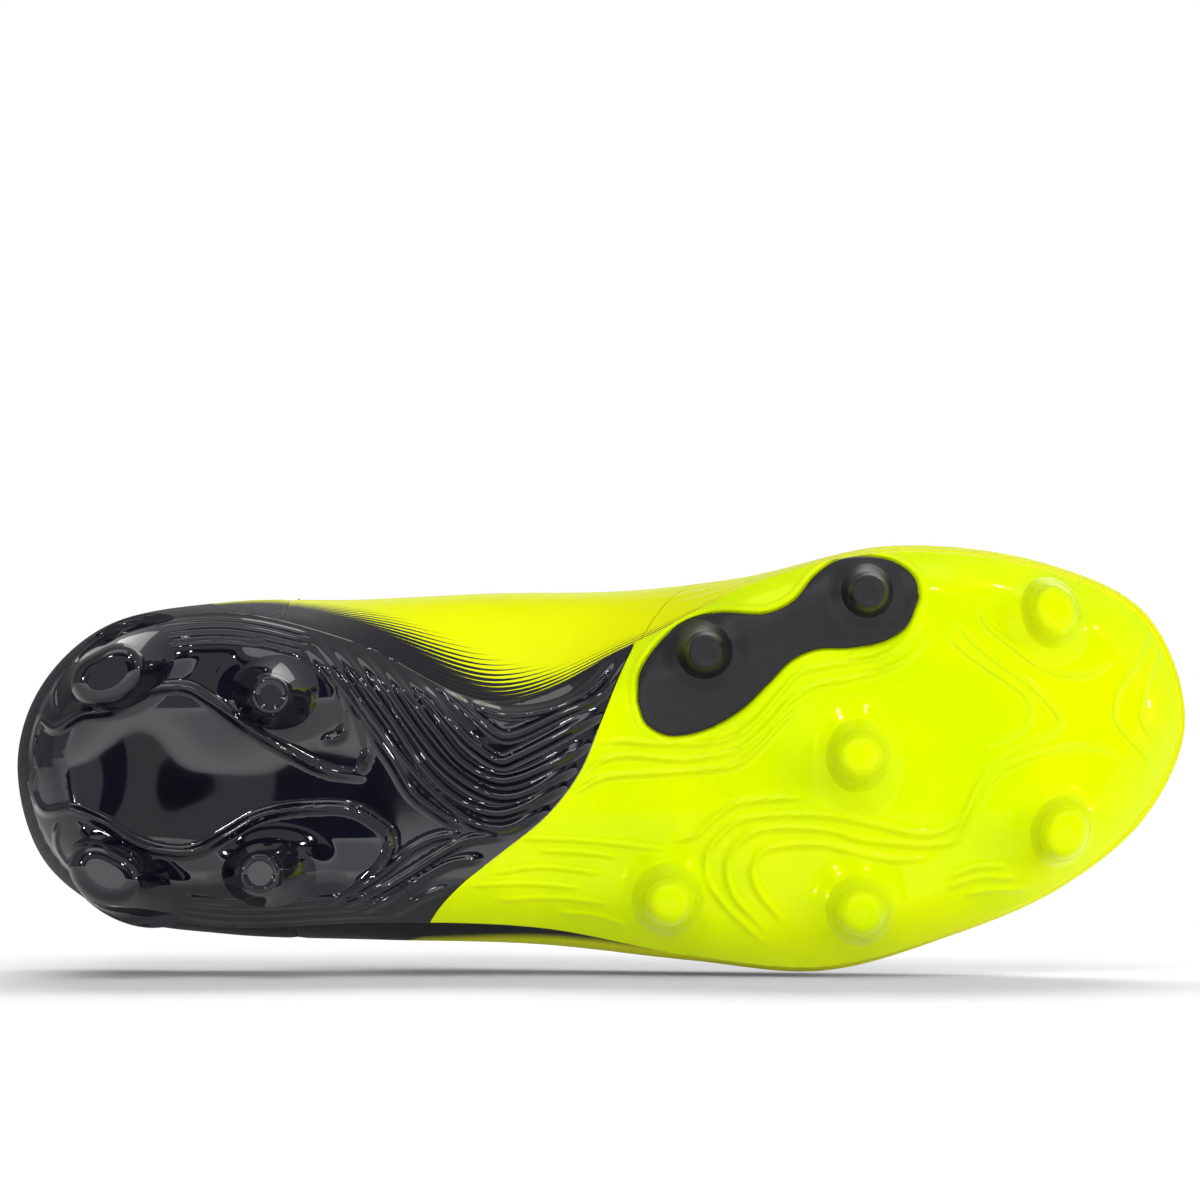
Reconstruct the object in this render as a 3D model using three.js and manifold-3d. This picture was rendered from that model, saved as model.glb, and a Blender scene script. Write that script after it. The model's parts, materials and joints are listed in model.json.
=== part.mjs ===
// A left soccer cleat for firm ground: moulded sole plates with studs, a lasted upper, its linings,
// tongue and sockliner, each as its own closed solid.
// Millimetres. +X points to the toe, +Y to the outer (lateral) side and +Z up. The boot stands on
// its stud tips at z = 0, with the origin under the middle of its length and width.
import * as THREE from 'three';
import { mergeVertices } from 'three/addons/utils/BufferGeometryUtils.js';
import Module from 'manifold-3d';

const wasm = await Module();
wasm.setup();

// ---- Driving dimensions ----
const bootLength = 285; // heel to toe, outside
const bootWidth = 103.2; // across the ball, outside
const upperRise = 80; // from the plate to the top of the heel collar
const studHeight = 12.5; // ground to the underside of the heel plate
const plateThickness = 2.4;
const rimWidth = 11; // how far in from its edge the plate starts to curl up
const studTopRadius = 5.4; // where a stud meets its tip
const studFlareRadius = 11.5; // where a stud meets the plate
const tipHeight = 3.2;
const tipRadius = 4.3; // the flat that stands on the ground
const carrierThickness = 1.2; // the soft-stud carrier, let into the forefoot plate
const upperThickness = 1.5;
const overlayThickness = 0.9; // the eyestays
const counterThickness = 1.1; // heel counter and toe puff
const liningThickness = 0.9;
const collarPadding = 3.2; // how much thicker the foam is at the middle of the collar
const bindingRadius = 1.8;
const boardThickness = 1.5;
const sockThickness = 3.6;
const tongueThickness = 3.0;
const tonguePadThickness = 6.5;
const tongueCrown = 0.06; // share of its width
const tonguePadLength = 18;
const tongueRise = 14; // how far the tongue runs past the last eyelets before its pad starts
const foldGap = 2.2; // room at the tongue's fold
const eyeletRadius = 2.2;
const eyeletPairs = 6;
const gap = 0.3; // between pieces that touch
const overlayGap = 0.5; // under pieces laid over the upper
const cementGap = 1.5; // between the plate and the lasted margin
const boardGap = 0.9; // between the lasted margin and the board, whose facets differ
const bindingGap = 0.9; // between the upper's edge and the binding's round cord

// ---- The drawn form, at 285 x 103.2 mm, scaled to the driving dimensions ----
const drawnLength = 285;
const drawnWidth = 103.2;
const drawnRise = 80;
const alongX = bootLength / drawnLength;
const alongY = bootWidth / drawnWidth;
const alongZ = upperRise / drawnRise;
const drawnStudHeight = 12.5;
const groundLift = studHeight - drawnStudHeight;

const scalePlan = ([x, y]) => [x * alongX, y * alongY];
const scaleUpper = ([x, y, z]) => [
  x * alongX,
  y * alongY,
  studHeight + (z - drawnStudHeight) * alongZ,
];

// Each outline has 22 knots: knot 0 at the back of the heel, 11 at the toe tip, 1 to 10 on the
// lateral side and 12 to 21 on the medial side.
const knots = 22;
const toeKnot = 11;

// The plate's edge, seen from below.
const plateEdge = [
  [-139, 2], [-132.5, 23], [-116, 35.5], [-92, 40.5], [-55, 39.5], [-15, 40.8],
  [22, 47.5], [54, 50], [84, 42], [111, 30], [131, 13], [140.5, -9],
  [131.5, -33.5], [107, -45.8], [70, -50], [38, -43], [8, -28], [-25, -13.8],
  [-60, -28.5], [-92, -35.5], [-119, -30], [-134, -16],
].map(scalePlan);

// The widest line round the upper: x, y, z.
const widestLine = [
  [-142.5, 2, 42], [-136, 25, 41], [-118, 38.5, 40], [-92, 43, 40], [-55, 44.5, 42],
  [-15, 45.5, 42], [22, 49.3, 36], [54, 51.6, 31], [84, 43.5, 31], [112, 31.5, 33],
  [133, 14, 35], [142.5, -9, 37], [133, -35, 35], [108, -47.5, 33], [70, -51.6, 31],
  [38, -44, 35], [8, -39, 42], [-25, -38, 46], [-60, -38, 45], [-92, -37.8, 42],
  [-121, -32, 41], [-137, -17, 42],
].map(scaleUpper);

// The edge of the foot opening: round the collar and down both sides of the lacing to the throat.
const openingEdge = [
  [-133, 1.5, 92], [-129, 14, 91], [-114, 25, 84], [-90, 29.5, 75], [-60, 26, 78],
  [-38, 18, 97], [-12, 13, 92], [14, 8, 86], [36, 5, 76.5], [49, 3, 70.5],
  [54.5, 0, 68], [56, -4, 67], [54.5, -8, 68], [48, -11, 70.5], [32, -13, 78],
  [10, -15, 87.5], [-13, -19.5, 92.5], [-38, -24, 97], [-62, -26, 80], [-90, -27.5, 76],
  [-115, -23, 85], [-129, -11, 91],
].map(scaleUpper);

// How far the upper swells outwards and upwards between those two lines, at each knot.
const swellOut = [1.5, 1.5, 2, 2.5, 3, 5, 6, 5, 5, 4, 3, 2, 3, 4, 5, 6, 6, 5, 3, 2.5, 2, 1.5];
const swellUp = [0, 0, 0, 0, 2, 6, 8, 8, 10, 11, 11, 11, 11, 11, 10, 8, 7, 6, 2, 0, 0, 0];

// The underside of the plate along its centre line: x, z.
const solePoints = [
  [-142, 16], [-125, 13], [-100, 12.5], [-70, 13], [-40, 16], [-18, 17], [0, 16.5], [20, 14.5],
  [45, 12.3], [65, 11.8], [85, 12.6], [105, 15], [125, 19], [143, 23.5],
].map(([x, z]) => [x * alongX, z + groundLift]);

// How much the plate's edge curls up, along the sole: x, rise.
const rimPoints = [
  [-143, 8], [-90, 8], [-25, 5], [30, 6], [80, 6], [143, 5],
].map(([x, rise]) => [x * alongX, rise]);

// Where the black heel plate ends and the forefoot plate starts.
const plateJoint = [
  [14, -48], [9, -30], [5, -21.5], [0, -9], [-5, 3], [-13, 13.5], [-24, 22.5], [-34, 30.5],
  [-40.5, 38], [-45, 48],
].map(scalePlan);

// The soft-stud carrier's outline, medial forefoot.
const carrierOutline = [
  [8.5, -15], [11, -26], [19, -33.5], [29, -36.5], [41, -37], [48.5, -42.5], [56, -48],
  [66, -49.5], [74.5, -46], [77.5, -39], [73, -30.5], [63, -26], [50, -25], [40, -18.5],
  [31, -9.5], [20, -5], [11.5, -7.5],
].map(scalePlan);

// Studs: plan position, stretch along the blade, blade angle in degrees, tip height off the ground,
// what they stand on and, where it isn't the usual one, the radius of their foot.
const studs = {
  heel_medial_rear: { at: [-116, -21], stretch: 1.7, turn: -16, lift: 0, base: 'heel', flare: 8.6 },
  heel_medial_front: { at: [-78, -16], stretch: 1, turn: 0, lift: 0, base: 'heel' },
  heel_lateral_rear: { at: [-115, 26], stretch: 1.7, turn: 24, lift: 0, base: 'heel', flare: 8.6 },
  heel_lateral_front: { at: [-80, 26], stretch: 1, turn: 0, lift: 0, base: 'heel' },
  ball_medial_rear: { at: [24.2, -25], stretch: 1, turn: 0, lift: 0, base: 'carrier' },
  ball_medial_front: { at: [64, -38.5], stretch: 1, turn: 0, lift: 0, base: 'carrier' },
  ball_centre: { at: [61, -1.5], stretch: 1, turn: 0, lift: 0, base: 'forefoot' },
  ball_lateral_front: { at: [62, 37], stretch: 1, turn: 0, lift: 0, base: 'forefoot' },
  ball_lateral_rear: { at: [16, 33.5], stretch: 1, turn: 0, lift: 0, base: 'forefoot' },
  toe_medial: { at: [108, -34.5], stretch: 1, turn: 0, lift: 3.5, base: 'forefoot' },
  toe_lateral: { at: [110, 17.5], stretch: 1, turn: 0, lift: 3.5, base: 'forefoot' },
};

// ---- Materials ----
const paint = (color, roughness) => new THREE.MeshStandardMaterial({ color, roughness, metalness: 0 });
const blackPlastic = paint(0x0c0c14, 0.15);
const yellowPlastic = paint(0xdcfa00, 0.2);
const greyPlastic = paint(0x26262b, 0.45);
const yellowSkin = paint(0xe6fa00, 0.5);
const blackSkin = paint(0x2a2a33, 0.55);
const blackFabric = paint(0x17171c, 0.9);
const foam = paint(0x3a3a40, 0.95);
const boardFibre = paint(0xd8d2c4, 0.95);

// ---- Curves ----
const mix = (a, b, t) => a.map((c, i) => c + (b[i] - c) * t);

// A value along a list of [x, value] points, on a smooth curve.
function along(points, x) {
  const last = points.length - 1;
  const clamped = Math.min(Math.max(x, points[0][0]), points[last][0]);
  const i = Math.max(0, Math.min(last - 1, points.findLastIndex((p) => p[0] <= clamped)));
  const slope = (j) => {
    const a = points[Math.max(j - 1, 0)];
    const b = points[Math.min(j + 1, last)];
    return (b[1] - a[1]) / (b[0] - a[0]);
  };
  const [[xa, ya], [xb, yb]] = [points[i], points[i + 1]];
  const span = xb - xa;
  const t = (clamped - xa) / span;
  const [t2, t3] = [t * t, t * t * t];
  return (2 * t3 - 3 * t2 + 1) * ya + (t3 - 2 * t2 + t) * span * slope(i)
    + (-2 * t3 + 3 * t2) * yb + (t3 - t2) * span * slope(i + 1);
}

// A point on the smooth curve through four points, between the middle two (centripetal).
const shortestStep = 1e-4; // so that two equal points don't divide by zero
function between(p0, p1, p2, p3, t) {
  const step = (a, b) => Math.max(Math.sqrt(Math.hypot(...a.map((c, i) => b[i] - c))), shortestStep);
  const [d0, d1, d2] = [step(p0, p1), step(p1, p2), step(p2, p3)];
  const [t2, t3] = [t * t, t * t * t];
  return p1.map((_, i) => {
    const [a, b, c, d] = [p0[i], p1[i], p2[i], p3[i]];
    const out = d1 * ((b - a) / d0 - (c - a) / (d0 + d1) + (c - b) / d1);
    const into = d1 * ((c - b) / d1 - (d - b) / (d1 + d2) + (d - c) / d2);
    return (2 * t3 - 3 * t2 + 1) * b + (t3 - 2 * t2 + t) * out
      + (-2 * t3 + 3 * t2) * c + (t3 - t2) * into;
  });
}

// A point on a closed outline, at a knot number that may lie between two knots.
function onOutline(points, knot) {
  const n = points.length;
  const i = Math.floor(knot);
  const p = (j) => points[(((i + j) % n) + n) % n];
  return between(p(-1), p(0), p(1), p(2), knot - i);
}

// A point on an open line through points, at a number from 0 to the last point's.
function onLine(points, at) {
  const last = points.length - 1;
  const i = Math.max(0, Math.min(last - 1, Math.floor(at)));
  const p = (j) => {
    if (j < 0) return points[0].map((c, k) => 2 * c - points[1][k]);
    if (j > last) return points[last].map((c, k) => 2 * c - points[last - 1][k]);
    return points[j];
  };
  return between(p(i - 1), p(i), p(i + 1), p(i + 2), at - i);
}

// ---- The sole's surfaces ----
const edgeSteps = 6; // straight stretches between two knots
const edgeLine = Array.from({ length: knots * edgeSteps }, (_, i) => onOutline(plateEdge, i / edgeSteps));

// How far a plan point lies inside the plate's edge.
function insideEdge(x, y) {
  let best = Infinity;
  edgeLine.forEach(([ax, ay], i) => {
    const [bx, by] = edgeLine[(i + 1) % edgeLine.length];
    const [dx, dy] = [bx - ax, by - ay];
    const t = Math.min(1, Math.max(0, ((x - ax) * dx + (y - ay) * dy) / (dx * dx + dy * dy)));
    best = Math.min(best, Math.hypot(x - ax - t * dx, y - ay - t * dy));
  });
  return best;
}

// 1 at the plate's edge, falling to 0 where its curl starts.
const curl = (x, y) => Math.max(0, 1 - insideEdge(x, y) / rimWidth) ** 2;
const soleUnder = (x, y) => along(solePoints, x) + along(rimPoints, x) * curl(x, y);
// The curl makes the plate steep, so its upright thickness grows with it.
const rimSteepness = 1.2;
const soleTop = (x, y) => soleUnder(x, y) + plateThickness * (1 + rimSteepness * curl(x, y));
const marginUnder = (x, y) => soleTop(x, y) + cementGap;
const boardUnder = (x, y) => marginUnder(x, y) + upperThickness + boardGap;
const sockUnder = (x, y) => boardUnder(x, y) + boardThickness + gap;

// ---- The upper's surface ----
// The middle of the plate between its two edges, for a knot on either side.
function spineAt(knot) {
  const [lateral, medial] = [onOutline(plateEdge, knot), onOutline(plateEdge, knots - knot)];
  return mix(lateral, medial, 0.5);
}

// A point inside the plate's edge. The edge's direction is taken over a short stretch either side.
const edgeStretch = 0.05; // in knots
function insetEdge(knot, distance) {
  const edge = onOutline(plateEdge, knot);
  const ahead = onOutline(plateEdge, knot + edgeStretch);
  const back = onOutline(plateEdge, knot - edgeStretch);
  const [dx, dy] = [ahead[0] - back[0], ahead[1] - back[1]];
  const size = Math.hypot(dx, dy);
  // Knots run anticlockwise seen from below, so the inside is to this side of the edge.
  return [edge[0] + (dy / size) * distance, edge[1] - (dx / size) * distance];
}

const marginInset = 14; // how far the lasted margin reaches under the foot
const cornerInset = 9.5;
const lipInset = 1.2;
const lowSwell = 0.28; // how far up from the widest line the lower swell lies
const highSwell = 0.62;
const highSwellShare = 0.7;
const topRow = 6; // rows 0 to 6 run from the margin under the foot to the opening's edge

function profileRows(knot) {
  const low = (inset) => {
    const [x, y] = insetEdge(knot, inset);
    return [x, y, marginUnder(x, y)];
  };
  const widest = onOutline(widestLine, knot);
  const opening = onOutline(openingEdge, knot);
  const spine = spineAt(knot);
  const outward = [widest[0] - spine[0], widest[1] - spine[1]];
  const reach = Math.hypot(...outward);
  const out = onOutline(swellOut.map((s) => [s]), knot)[0];
  const up = onOutline(swellUp.map((s) => [s]), knot)[0] * alongZ;
  const swell = (share, amount) => {
    const p = mix(widest, opening, share);
    return [
      p[0] + (outward[0] / reach) * out * amount,
      p[1] + (outward[1] / reach) * out * amount,
      p[2] + up * amount,
    ];
  };
  return [
    low(marginInset), low(cornerInset), low(lipInset), widest,
    swell(lowSwell, 1), swell(highSwell, highSwellShare), opening,
  ];
}

const rowsMade = new Map();
function rowsAt(knot) {
  const key = knot.toFixed(4);
  if (!rowsMade.has(key)) rowsMade.set(key, profileRows(knot));
  return rowsMade.get(key);
}

const skin = (knot, row) => new THREE.Vector3(...onLine(rowsAt(knot), row));

const nudge = 0.02; // in knots and in rows, to find the skin's slopes
function skinNormal(knot, row) {
  const lowRow = Math.max(0, row - nudge);
  const highRow = Math.min(topRow, row + nudge);
  const acrossKnots = skin(knot + nudge, row).sub(skin(knot - nudge, row));
  const upRows = skin(knot, highRow).sub(skin(knot, lowRow));
  return upRows.cross(acrossKnots).normalize();
}

// The upper's outer face moved along its normal: depth is how far inside it.
const within = (knot, row, depth) => skin(knot, row).addScaledVector(skinNormal(knot, row), -depth);

// ---- Solids ----
function meshFrom(points, triangles) {
  const geometry = new THREE.BufferGeometry();
  geometry.setAttribute('position', new THREE.Float32BufferAttribute(points.flatMap((p) => p.toArray()), 3));
  geometry.setIndex(triangles.flat());
  return geometry;
}

// A closed solid between two grids of points of the same size. Front faces point the way that
// grid rows cross grid columns.
function solidBetween(front, back) {
  const [rows, columns] = [front.length, front[0].length];
  const points = [...front.flat(), ...back.flat()];
  const [lastRow, lastColumn] = [rows - 1, columns - 1];
  const frontAt = (i, j) => i * columns + j;
  const backAt = (i, j) => (rows + i) * columns + j;
  const triangles = [];
  const quad = (a, b, c, d) => triangles.push([a, c, b], [a, d, c]);
  for (let i = 0; i < lastRow; i += 1) {
    for (let j = 0; j < lastColumn; j += 1) {
      quad(frontAt(i, j), frontAt(i + 1, j), frontAt(i + 1, j + 1), frontAt(i, j + 1));
      quad(backAt(i, j), backAt(i, j + 1), backAt(i + 1, j + 1), backAt(i + 1, j));
    }
    quad(frontAt(i, 0), backAt(i, 0), backAt(i + 1, 0), frontAt(i + 1, 0));
    quad(frontAt(i, lastColumn), frontAt(i + 1, lastColumn), backAt(i + 1, lastColumn), backAt(i, lastColumn));
  }
  for (let j = 0; j < lastColumn; j += 1) {
    quad(frontAt(0, j), frontAt(0, j + 1), backAt(0, j + 1), backAt(0, j));
    quad(frontAt(lastRow, j), backAt(lastRow, j), backAt(lastRow, j + 1), frontAt(lastRow, j + 1));
  }
  return meshFrom(points, triangles);
}

const mergeWithin = 1e-3;
function solidOf(geometry) {
  const bare = new THREE.BufferGeometry();
  bare.setAttribute('position', geometry.getAttribute('position'));
  bare.setIndex(geometry.index);
  const merged = mergeVertices(bare, mergeWithin);
  return new wasm.Manifold(new wasm.Mesh({
    numProp: 3,
    vertProperties: merged.attributes.position.array,
    triVerts: new Uint32Array(merged.index.array),
  }));
}

function geometryOf(solid) {
  const made = solid.getMesh();
  const geometry = new THREE.BufferGeometry();
  geometry.setAttribute('position', new THREE.BufferAttribute(made.vertProperties, 3));
  geometry.setIndex(new THREE.BufferAttribute(made.triVerts, 1));
  return geometry;
}

const steps = (from, to, count) => Array.from({ length: count + 1 }, (_, i) => from + ((to - from) * i) / count);

const seamKnots = 0.01; // half the room left at a seam, in knots

// Knot lines from one knot to another, on the same half knots in every layer.
const knotSpacing = 0.5;
const nearEnd = 0.1; // a line closer than this to an end is left out
function knotLines(from, to) {
  const lines = [from];
  const first = Math.floor(from / knotSpacing + 1 + nearEnd) * knotSpacing;
  for (let k = first; k < to - nearEnd; k += knotSpacing) lines.push(k);
  return [...lines, to];
}

// Layers start and end on these rows, so that their facets lie over one another.
const rowGrid = [0, 1, 1.5, 2, 2.25, 2.5, 3, 3.5, 4, 4.5, 5, 5.4, 5.65, 5.9, 6];
const rowLines = (from, to) => rowGrid.filter((r) => r >= from && r <= to);

// A layer of the upper over a stretch of knots and rows, between two depths.
function layer(fromKnot, toKnot, fromRow, toRow, outerDepth, innerDepth) {
  const lines = knotLines(fromKnot + seamKnots, toKnot - seamKnots);
  const grid = (depth) => lines.map((k) => rowLines(fromRow, toRow).map((r) => within(k, r, depth(k, r))));
  return solidOf(solidBetween(grid(outerDepth), grid(innerDepth)));
}

// A dished plate inside the plate's edge, between two heights over the ground. Its facets keep their
// length on a longer boot, so that pieces which lie over each other stay clear.
const stationSpacing = 13;
const plateStations = Math.round(bootLength / stationSpacing);
const plateColumns = 12;
function dish(inset, under, top, stations = plateStations, columns = plateColumns) {
  const column = steps(0, 1, columns).map((t) => (1 - Math.cos(Math.PI * t)) / 2);
  const grid = (height) => steps(0, toeKnot, stations).map((knot) => {
    const lateral = insetEdge(knot, inset);
    const medial = insetEdge(knots - knot, inset);
    return column.map((t) => {
      const [x, y] = knot === 0 || knot === toeKnot ? lateral : mix(medial, lateral, t);
      return new THREE.Vector3(x, y, height(x, y));
    });
  });
  return solidOf(solidBetween(grid(under), grid(top)));
}

// An upright prism through an outline, taller than the sole.
const prismFrom = -20;
const prismTo = 90;
function prism(outline) {
  const shape = new THREE.Shape(outline.map(([x, y]) => new THREE.Vector2(x, y)));
  const geometry = new THREE.ExtrudeGeometry(shape, { depth: prismTo - prismFrom, bevelEnabled: false });
  geometry.translate(0, 0, prismFrom);
  return solidOf(geometry);
}

// ---- Sole ----
const studSides = 16;

// A lathe-turned body of revolution, stretched and turned about the stud's own axis.
function turned(profile, stud, z) {
  const geometry = new THREE.LatheGeometry(profile.map(([r, h]) => new THREE.Vector2(r, h)), studSides);
  geometry.rotateX(Math.PI / 2);
  geometry.scale(stud.stretch, 1, 1);
  geometry.rotateZ(THREE.MathUtils.degToRad(stud.turn));
  const [x, y] = scalePlan(stud.at);
  geometry.translate(x, y, z);
  return geometry;
}

// A stud's side runs in three straight stretches. Heights are shares of the stud's.
const neckHeight = 0.32;
const neckGrowth = 0.7; // how much wider it is there than at its tip
const waistHeight = 0.68;
const waistTuck = 1.6; // how much slimmer it is there than halfway between tip and foot
const rootShare = 0.7; // how far a stud's root goes into its carrier or plate
const underStuds = 30; // deeper than any stud is tall
const spare = 12; // taller than the sole's curl, trimmed off at the root
function studBody(stud) {
  const [x, y] = scalePlan(stud.at);
  const bottom = stud.lift + tipHeight + gap;
  const height = soleUnder(x, y) - bottom;
  const foot = stud.flare ?? studFlareRadius;
  const waist = (studTopRadius + foot) / 2 - waistTuck;
  return solidOf(turned([
    [0, 0], [studTopRadius, 0], [studTopRadius + neckGrowth, height * neckHeight], [waist, height * waistHeight],
    [foot, height], [foot, height + spare], [0, height + spare],
  ], stud, bottom));
}

function studRoots() {
  const root = (x, y) => soleUnder(x, y) + carrierThickness * rootShare;
  return dish(0, (x, y) => soleUnder(x, y) - underStuds, root);
}

const tipBevel = 0.5;
function studTip(stud) {
  return turned([
    [0, 0], [tipRadius, 0], [tipRadius + tipBevel, tipBevel], [studTopRadius, tipHeight], [0, tipHeight],
  ], stud, stud.lift);
}

const fuse = (solids) => solids.reduce((a, b) => a.add(b));
const studsOn = (base) => fuse(Object.values(studs).filter((s) => s.base === base).map(studBody))
  .intersect(studRoots());

// An outline moved outwards by a distance.
function grown(points, distance) {
  return points.map(([x, y], i) => {
    const [bx, by] = points[(i + points.length - 1) % points.length];
    const [ax, ay] = points[(i + 1) % points.length];
    const size = Math.hypot(ax - bx, ay - by);
    return [x + ((ay - by) / size) * distance, y - ((ax - bx) / size) * distance];
  });
}

// Everything ahead of the joint between the plates, moved back by a distance.
const jointSteps = 27;
function aheadOfJoint(shift) {
  const line = steps(0, plateJoint.length - 1, jointSteps).map((t) => {
    const [x, y] = onLine(plateJoint, t);
    return [x - shift, y];
  });
  return prism([[line[0][0], -bootWidth], [bootLength, -bootWidth], [bootLength, bootWidth],
    [line.at(-1)[0], bootWidth], ...line.reverse()]);
}

const carrierProud = 0.15; // how far the carrier stands out of its pocket
const pocketReach = 2; // how far below the sole the pocket's cutter starts
function soleUnits() {
  const whole = dish(0, soleUnder, soleTop);
  const carrierTop = (x, y) => soleUnder(x, y) + carrierThickness;
  const belowSole = (depth) => (x, y) => soleUnder(x, y) - depth;
  const carrierSteps = carrierOutline.length * 2;
  const edge = steps(0, carrierOutline.length, carrierSteps).slice(0, -1).map((t) => onOutline(carrierOutline, t));
  const carrierSlab = dish(0, belowSole(carrierProud), carrierTop).intersect(prism(edge));
  const pocket = dish(0, belowSole(pocketReach), (x, y) => carrierTop(x, y) + gap).intersect(prism(grown(edge, gap)));
  return {
    heel: fuse([whole.subtract(aheadOfJoint(gap)), studsOn('heel')]),
    forefoot: fuse([whole.intersect(aheadOfJoint(0)).subtract(pocket), studsOn('forefoot')]),
    carrier: fuse([carrierSlab, studsOn('carrier').intersect(prism(edge))]),
  };
}

// ---- Upper, linings and stiffeners ----
const heelSeam = 3.5; // knots where the heel panel meets the quarters
const liningSeam = 5;
const collarEnd = 4.5;
const bindingEnd = 4.7;
const counterEnd = 4;
const puffFrom = 8.5;
const liningFoot = 2.5; // rows where the layers start and end
const stiffenerFoot = 2.25;
const counterTop = 4;
const puffTop = 4.5;
const stayFoot = 5.4;
const edgeRow = 5.9;
const stayFrom = 5;
const stayTo = 10.5;
const even = (depth) => () => depth;

const stiffenerDepth = upperThickness + gap;
const liningDepth = stiffenerDepth + counterThickness + gap;
const liningInside = liningDepth + liningThickness;

// 0 to 1 and back over a stretch.
const hump = (x, from, to) => Math.sin(Math.PI * Math.min(1, Math.max(0, (x - from) / (to - from))));
// The collar's padding thins out over its last knots, and still has some body at the collar's edge.
const paddingFade = 1.5;
const paddingTop = 6.2;
const padding = (k, row) => {
  const round = ((k % knots) + knots) % knots;
  const fromHeel = Math.min(round, knots - round);
  const ends = Math.min(1, Math.max(0, (collarEnd - fromHeel) / paddingFade));
  return collarPadding * ends * hump(row, counterTop, paddingTop);
};

// The shell ahead of the heel panel, cut into vamp and quarters on a slanting plane.
const seamFoot = [0, 15]; // x, z
const seamTop = [45, 72];
function shells() {
  const shell = layer(heelSeam, knots - heelSeam, 0, topRow, even(0), even(upperThickness));
  const [dx, dz] = [(seamTop[0] - seamFoot[0]) * alongX, (seamTop[1] - seamFoot[1]) * alongZ];
  const size = Math.hypot(dx, dz);
  const normal = [dz / size, 0, -dx / size];
  const [x, , z] = scaleUpper([seamFoot[0], 0, seamFoot[1]]);
  const offset = normal[0] * x + normal[2] * z;
  const vamp = shell.trimByPlane(normal, offset + gap / 2);
  const sides = shell.trimByPlane(normal.map((c) => -c), gap / 2 - offset).decompose();
  const bySide = sides.sort((a, b) => b.volume() - a.volume()).slice(0, 2)
    .sort((a, b) => a.boundingBox().min[1] - b.boundingBox().min[1]);
  return { vamp, medial: bySide[0], lateral: bySide[1] };
}

// Round bars through the stays and what lies under them.
const eyeletRow = 5.68;
const eyeletFrom = 5.45;
const eyeletTo = 9.75;
const eyeletSides = 8;
const barLength = 10;
function eyeletBars() {
  const bars = steps(eyeletFrom, eyeletTo, eyeletPairs - 1).flatMap((k) => [k, knots - k]).map((k) => {
    const bar = new THREE.CylinderGeometry(eyeletRadius, eyeletRadius, barLength, eyeletSides);
    const aim = skinNormal(k, eyeletRow);
    bar.applyQuaternion(new THREE.Quaternion().setFromUnitVectors(new THREE.Vector3(0, 1, 0), aim));
    const middle = within(k, eyeletRow, liningDepth / 2);
    bar.translate(middle.x, middle.y, middle.z);
    return solidOf(bar);
  });
  return fuse(bars);
}

// A round cord sewn over the edge of the collar.
const bindingPoints = 20;
const bindingSteps = 30;
function collarBinding() {
  const shape = new THREE.Shape();
  shape.absarc(0, 0, bindingRadius, 0, Math.PI * 2);
  const middle = (upperThickness + liningDepth) / 2;
  const points = steps(-bindingEnd, bindingEnd, bindingPoints).map((k) => {
    const rise = skin(k, topRow).sub(skin(k, edgeRow)).normalize();
    return within(k, topRow, middle).addScaledVector(rise, bindingRadius + bindingGap);
  });
  const extrudePath = new THREE.CatmullRomCurve3(points);
  return new THREE.ExtrudeGeometry(shape, {
    steps: bindingSteps, curveSegments: 4, extrudePath, bevelEnabled: false,
  });
}

// ---- Tongue ----
const tongueFrom = 9.6;
const tongueTo = 5;
const ramp = (x, from, to) => Math.max(0, Math.min(1, (x - from) / (to - from)));
// Its edges lie under the stays, and come out from under them towards the top.
const tongueLowRow = 5.4;
const tongueRowRise = 0.5;
const tongueRow = (k) => tongueLowRow + tongueRowRise * ramp(k, 6.5, tongueTo);
// It lies close under the lining, and deeper at the throat, where the lining curves in.
const tongueGap = 1.2;
const throatDrop = 2.6;
const tongueRoom = (k) => tongueGap + throatDrop * ramp(k, 7.5, tongueFrom);
const tongueLean = new THREE.Vector3(-0.42, 0, 0.9).normalize(); // the free end points this way
const tongueTopWidth = 0.82; // share of its width at the top

// The tongue's two edges at a place along it: knots first, then millimetres past the last knot.
function tongueEdges(place) {
  const k = Math.max(place.knot, tongueTo);
  const pair = [k, knots - k].map((knot) => within(knot, tongueRow(k), liningInside + tongueRoom(k)));
  const middle = pair[0].clone().add(pair[1]).multiplyScalar(0.5);
  const free = place.past / (tongueRise + foldGap + tonguePadLength);
  const width = 1 - (1 - tongueTopWidth) * free ** 3;
  return pair.map((p) => p.sub(middle).multiplyScalar(width).add(middle).addScaledVector(tongueLean, place.past));
}

const tongueColumns = 8;
const tongueSteps = 11;
const riseSteps = 2;
const padSteps = 4;
function tongueStrip(places, thickness) {
  const grids = [[], []];
  places.forEach((place, i) => {
    const [lateral, medial] = tongueEdges(place);
    const [nextPlace, lastPlace] = [places[i + 1] ?? place, places[i - 1] ?? place];
    const ahead = tongueEdges(lastPlace)[0].add(tongueEdges(lastPlace)[1])
      .sub(tongueEdges(nextPlace)[0]).sub(tongueEdges(nextPlace)[1]);
    const across = lateral.clone().sub(medial);
    const up = ahead.cross(across).normalize();
    const row = steps(0, 1, tongueColumns).map((t) => medial.clone().lerp(lateral, t)
      .addScaledVector(up, tongueCrown * across.length() * 4 * t * (1 - t)));
    grids[0].push(row);
    grids[1].push(row.map((p) => p.clone().addScaledVector(up, -thickness)));
  });
  return solidOf(solidBetween(grids[0], grids[1]));
}

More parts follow.
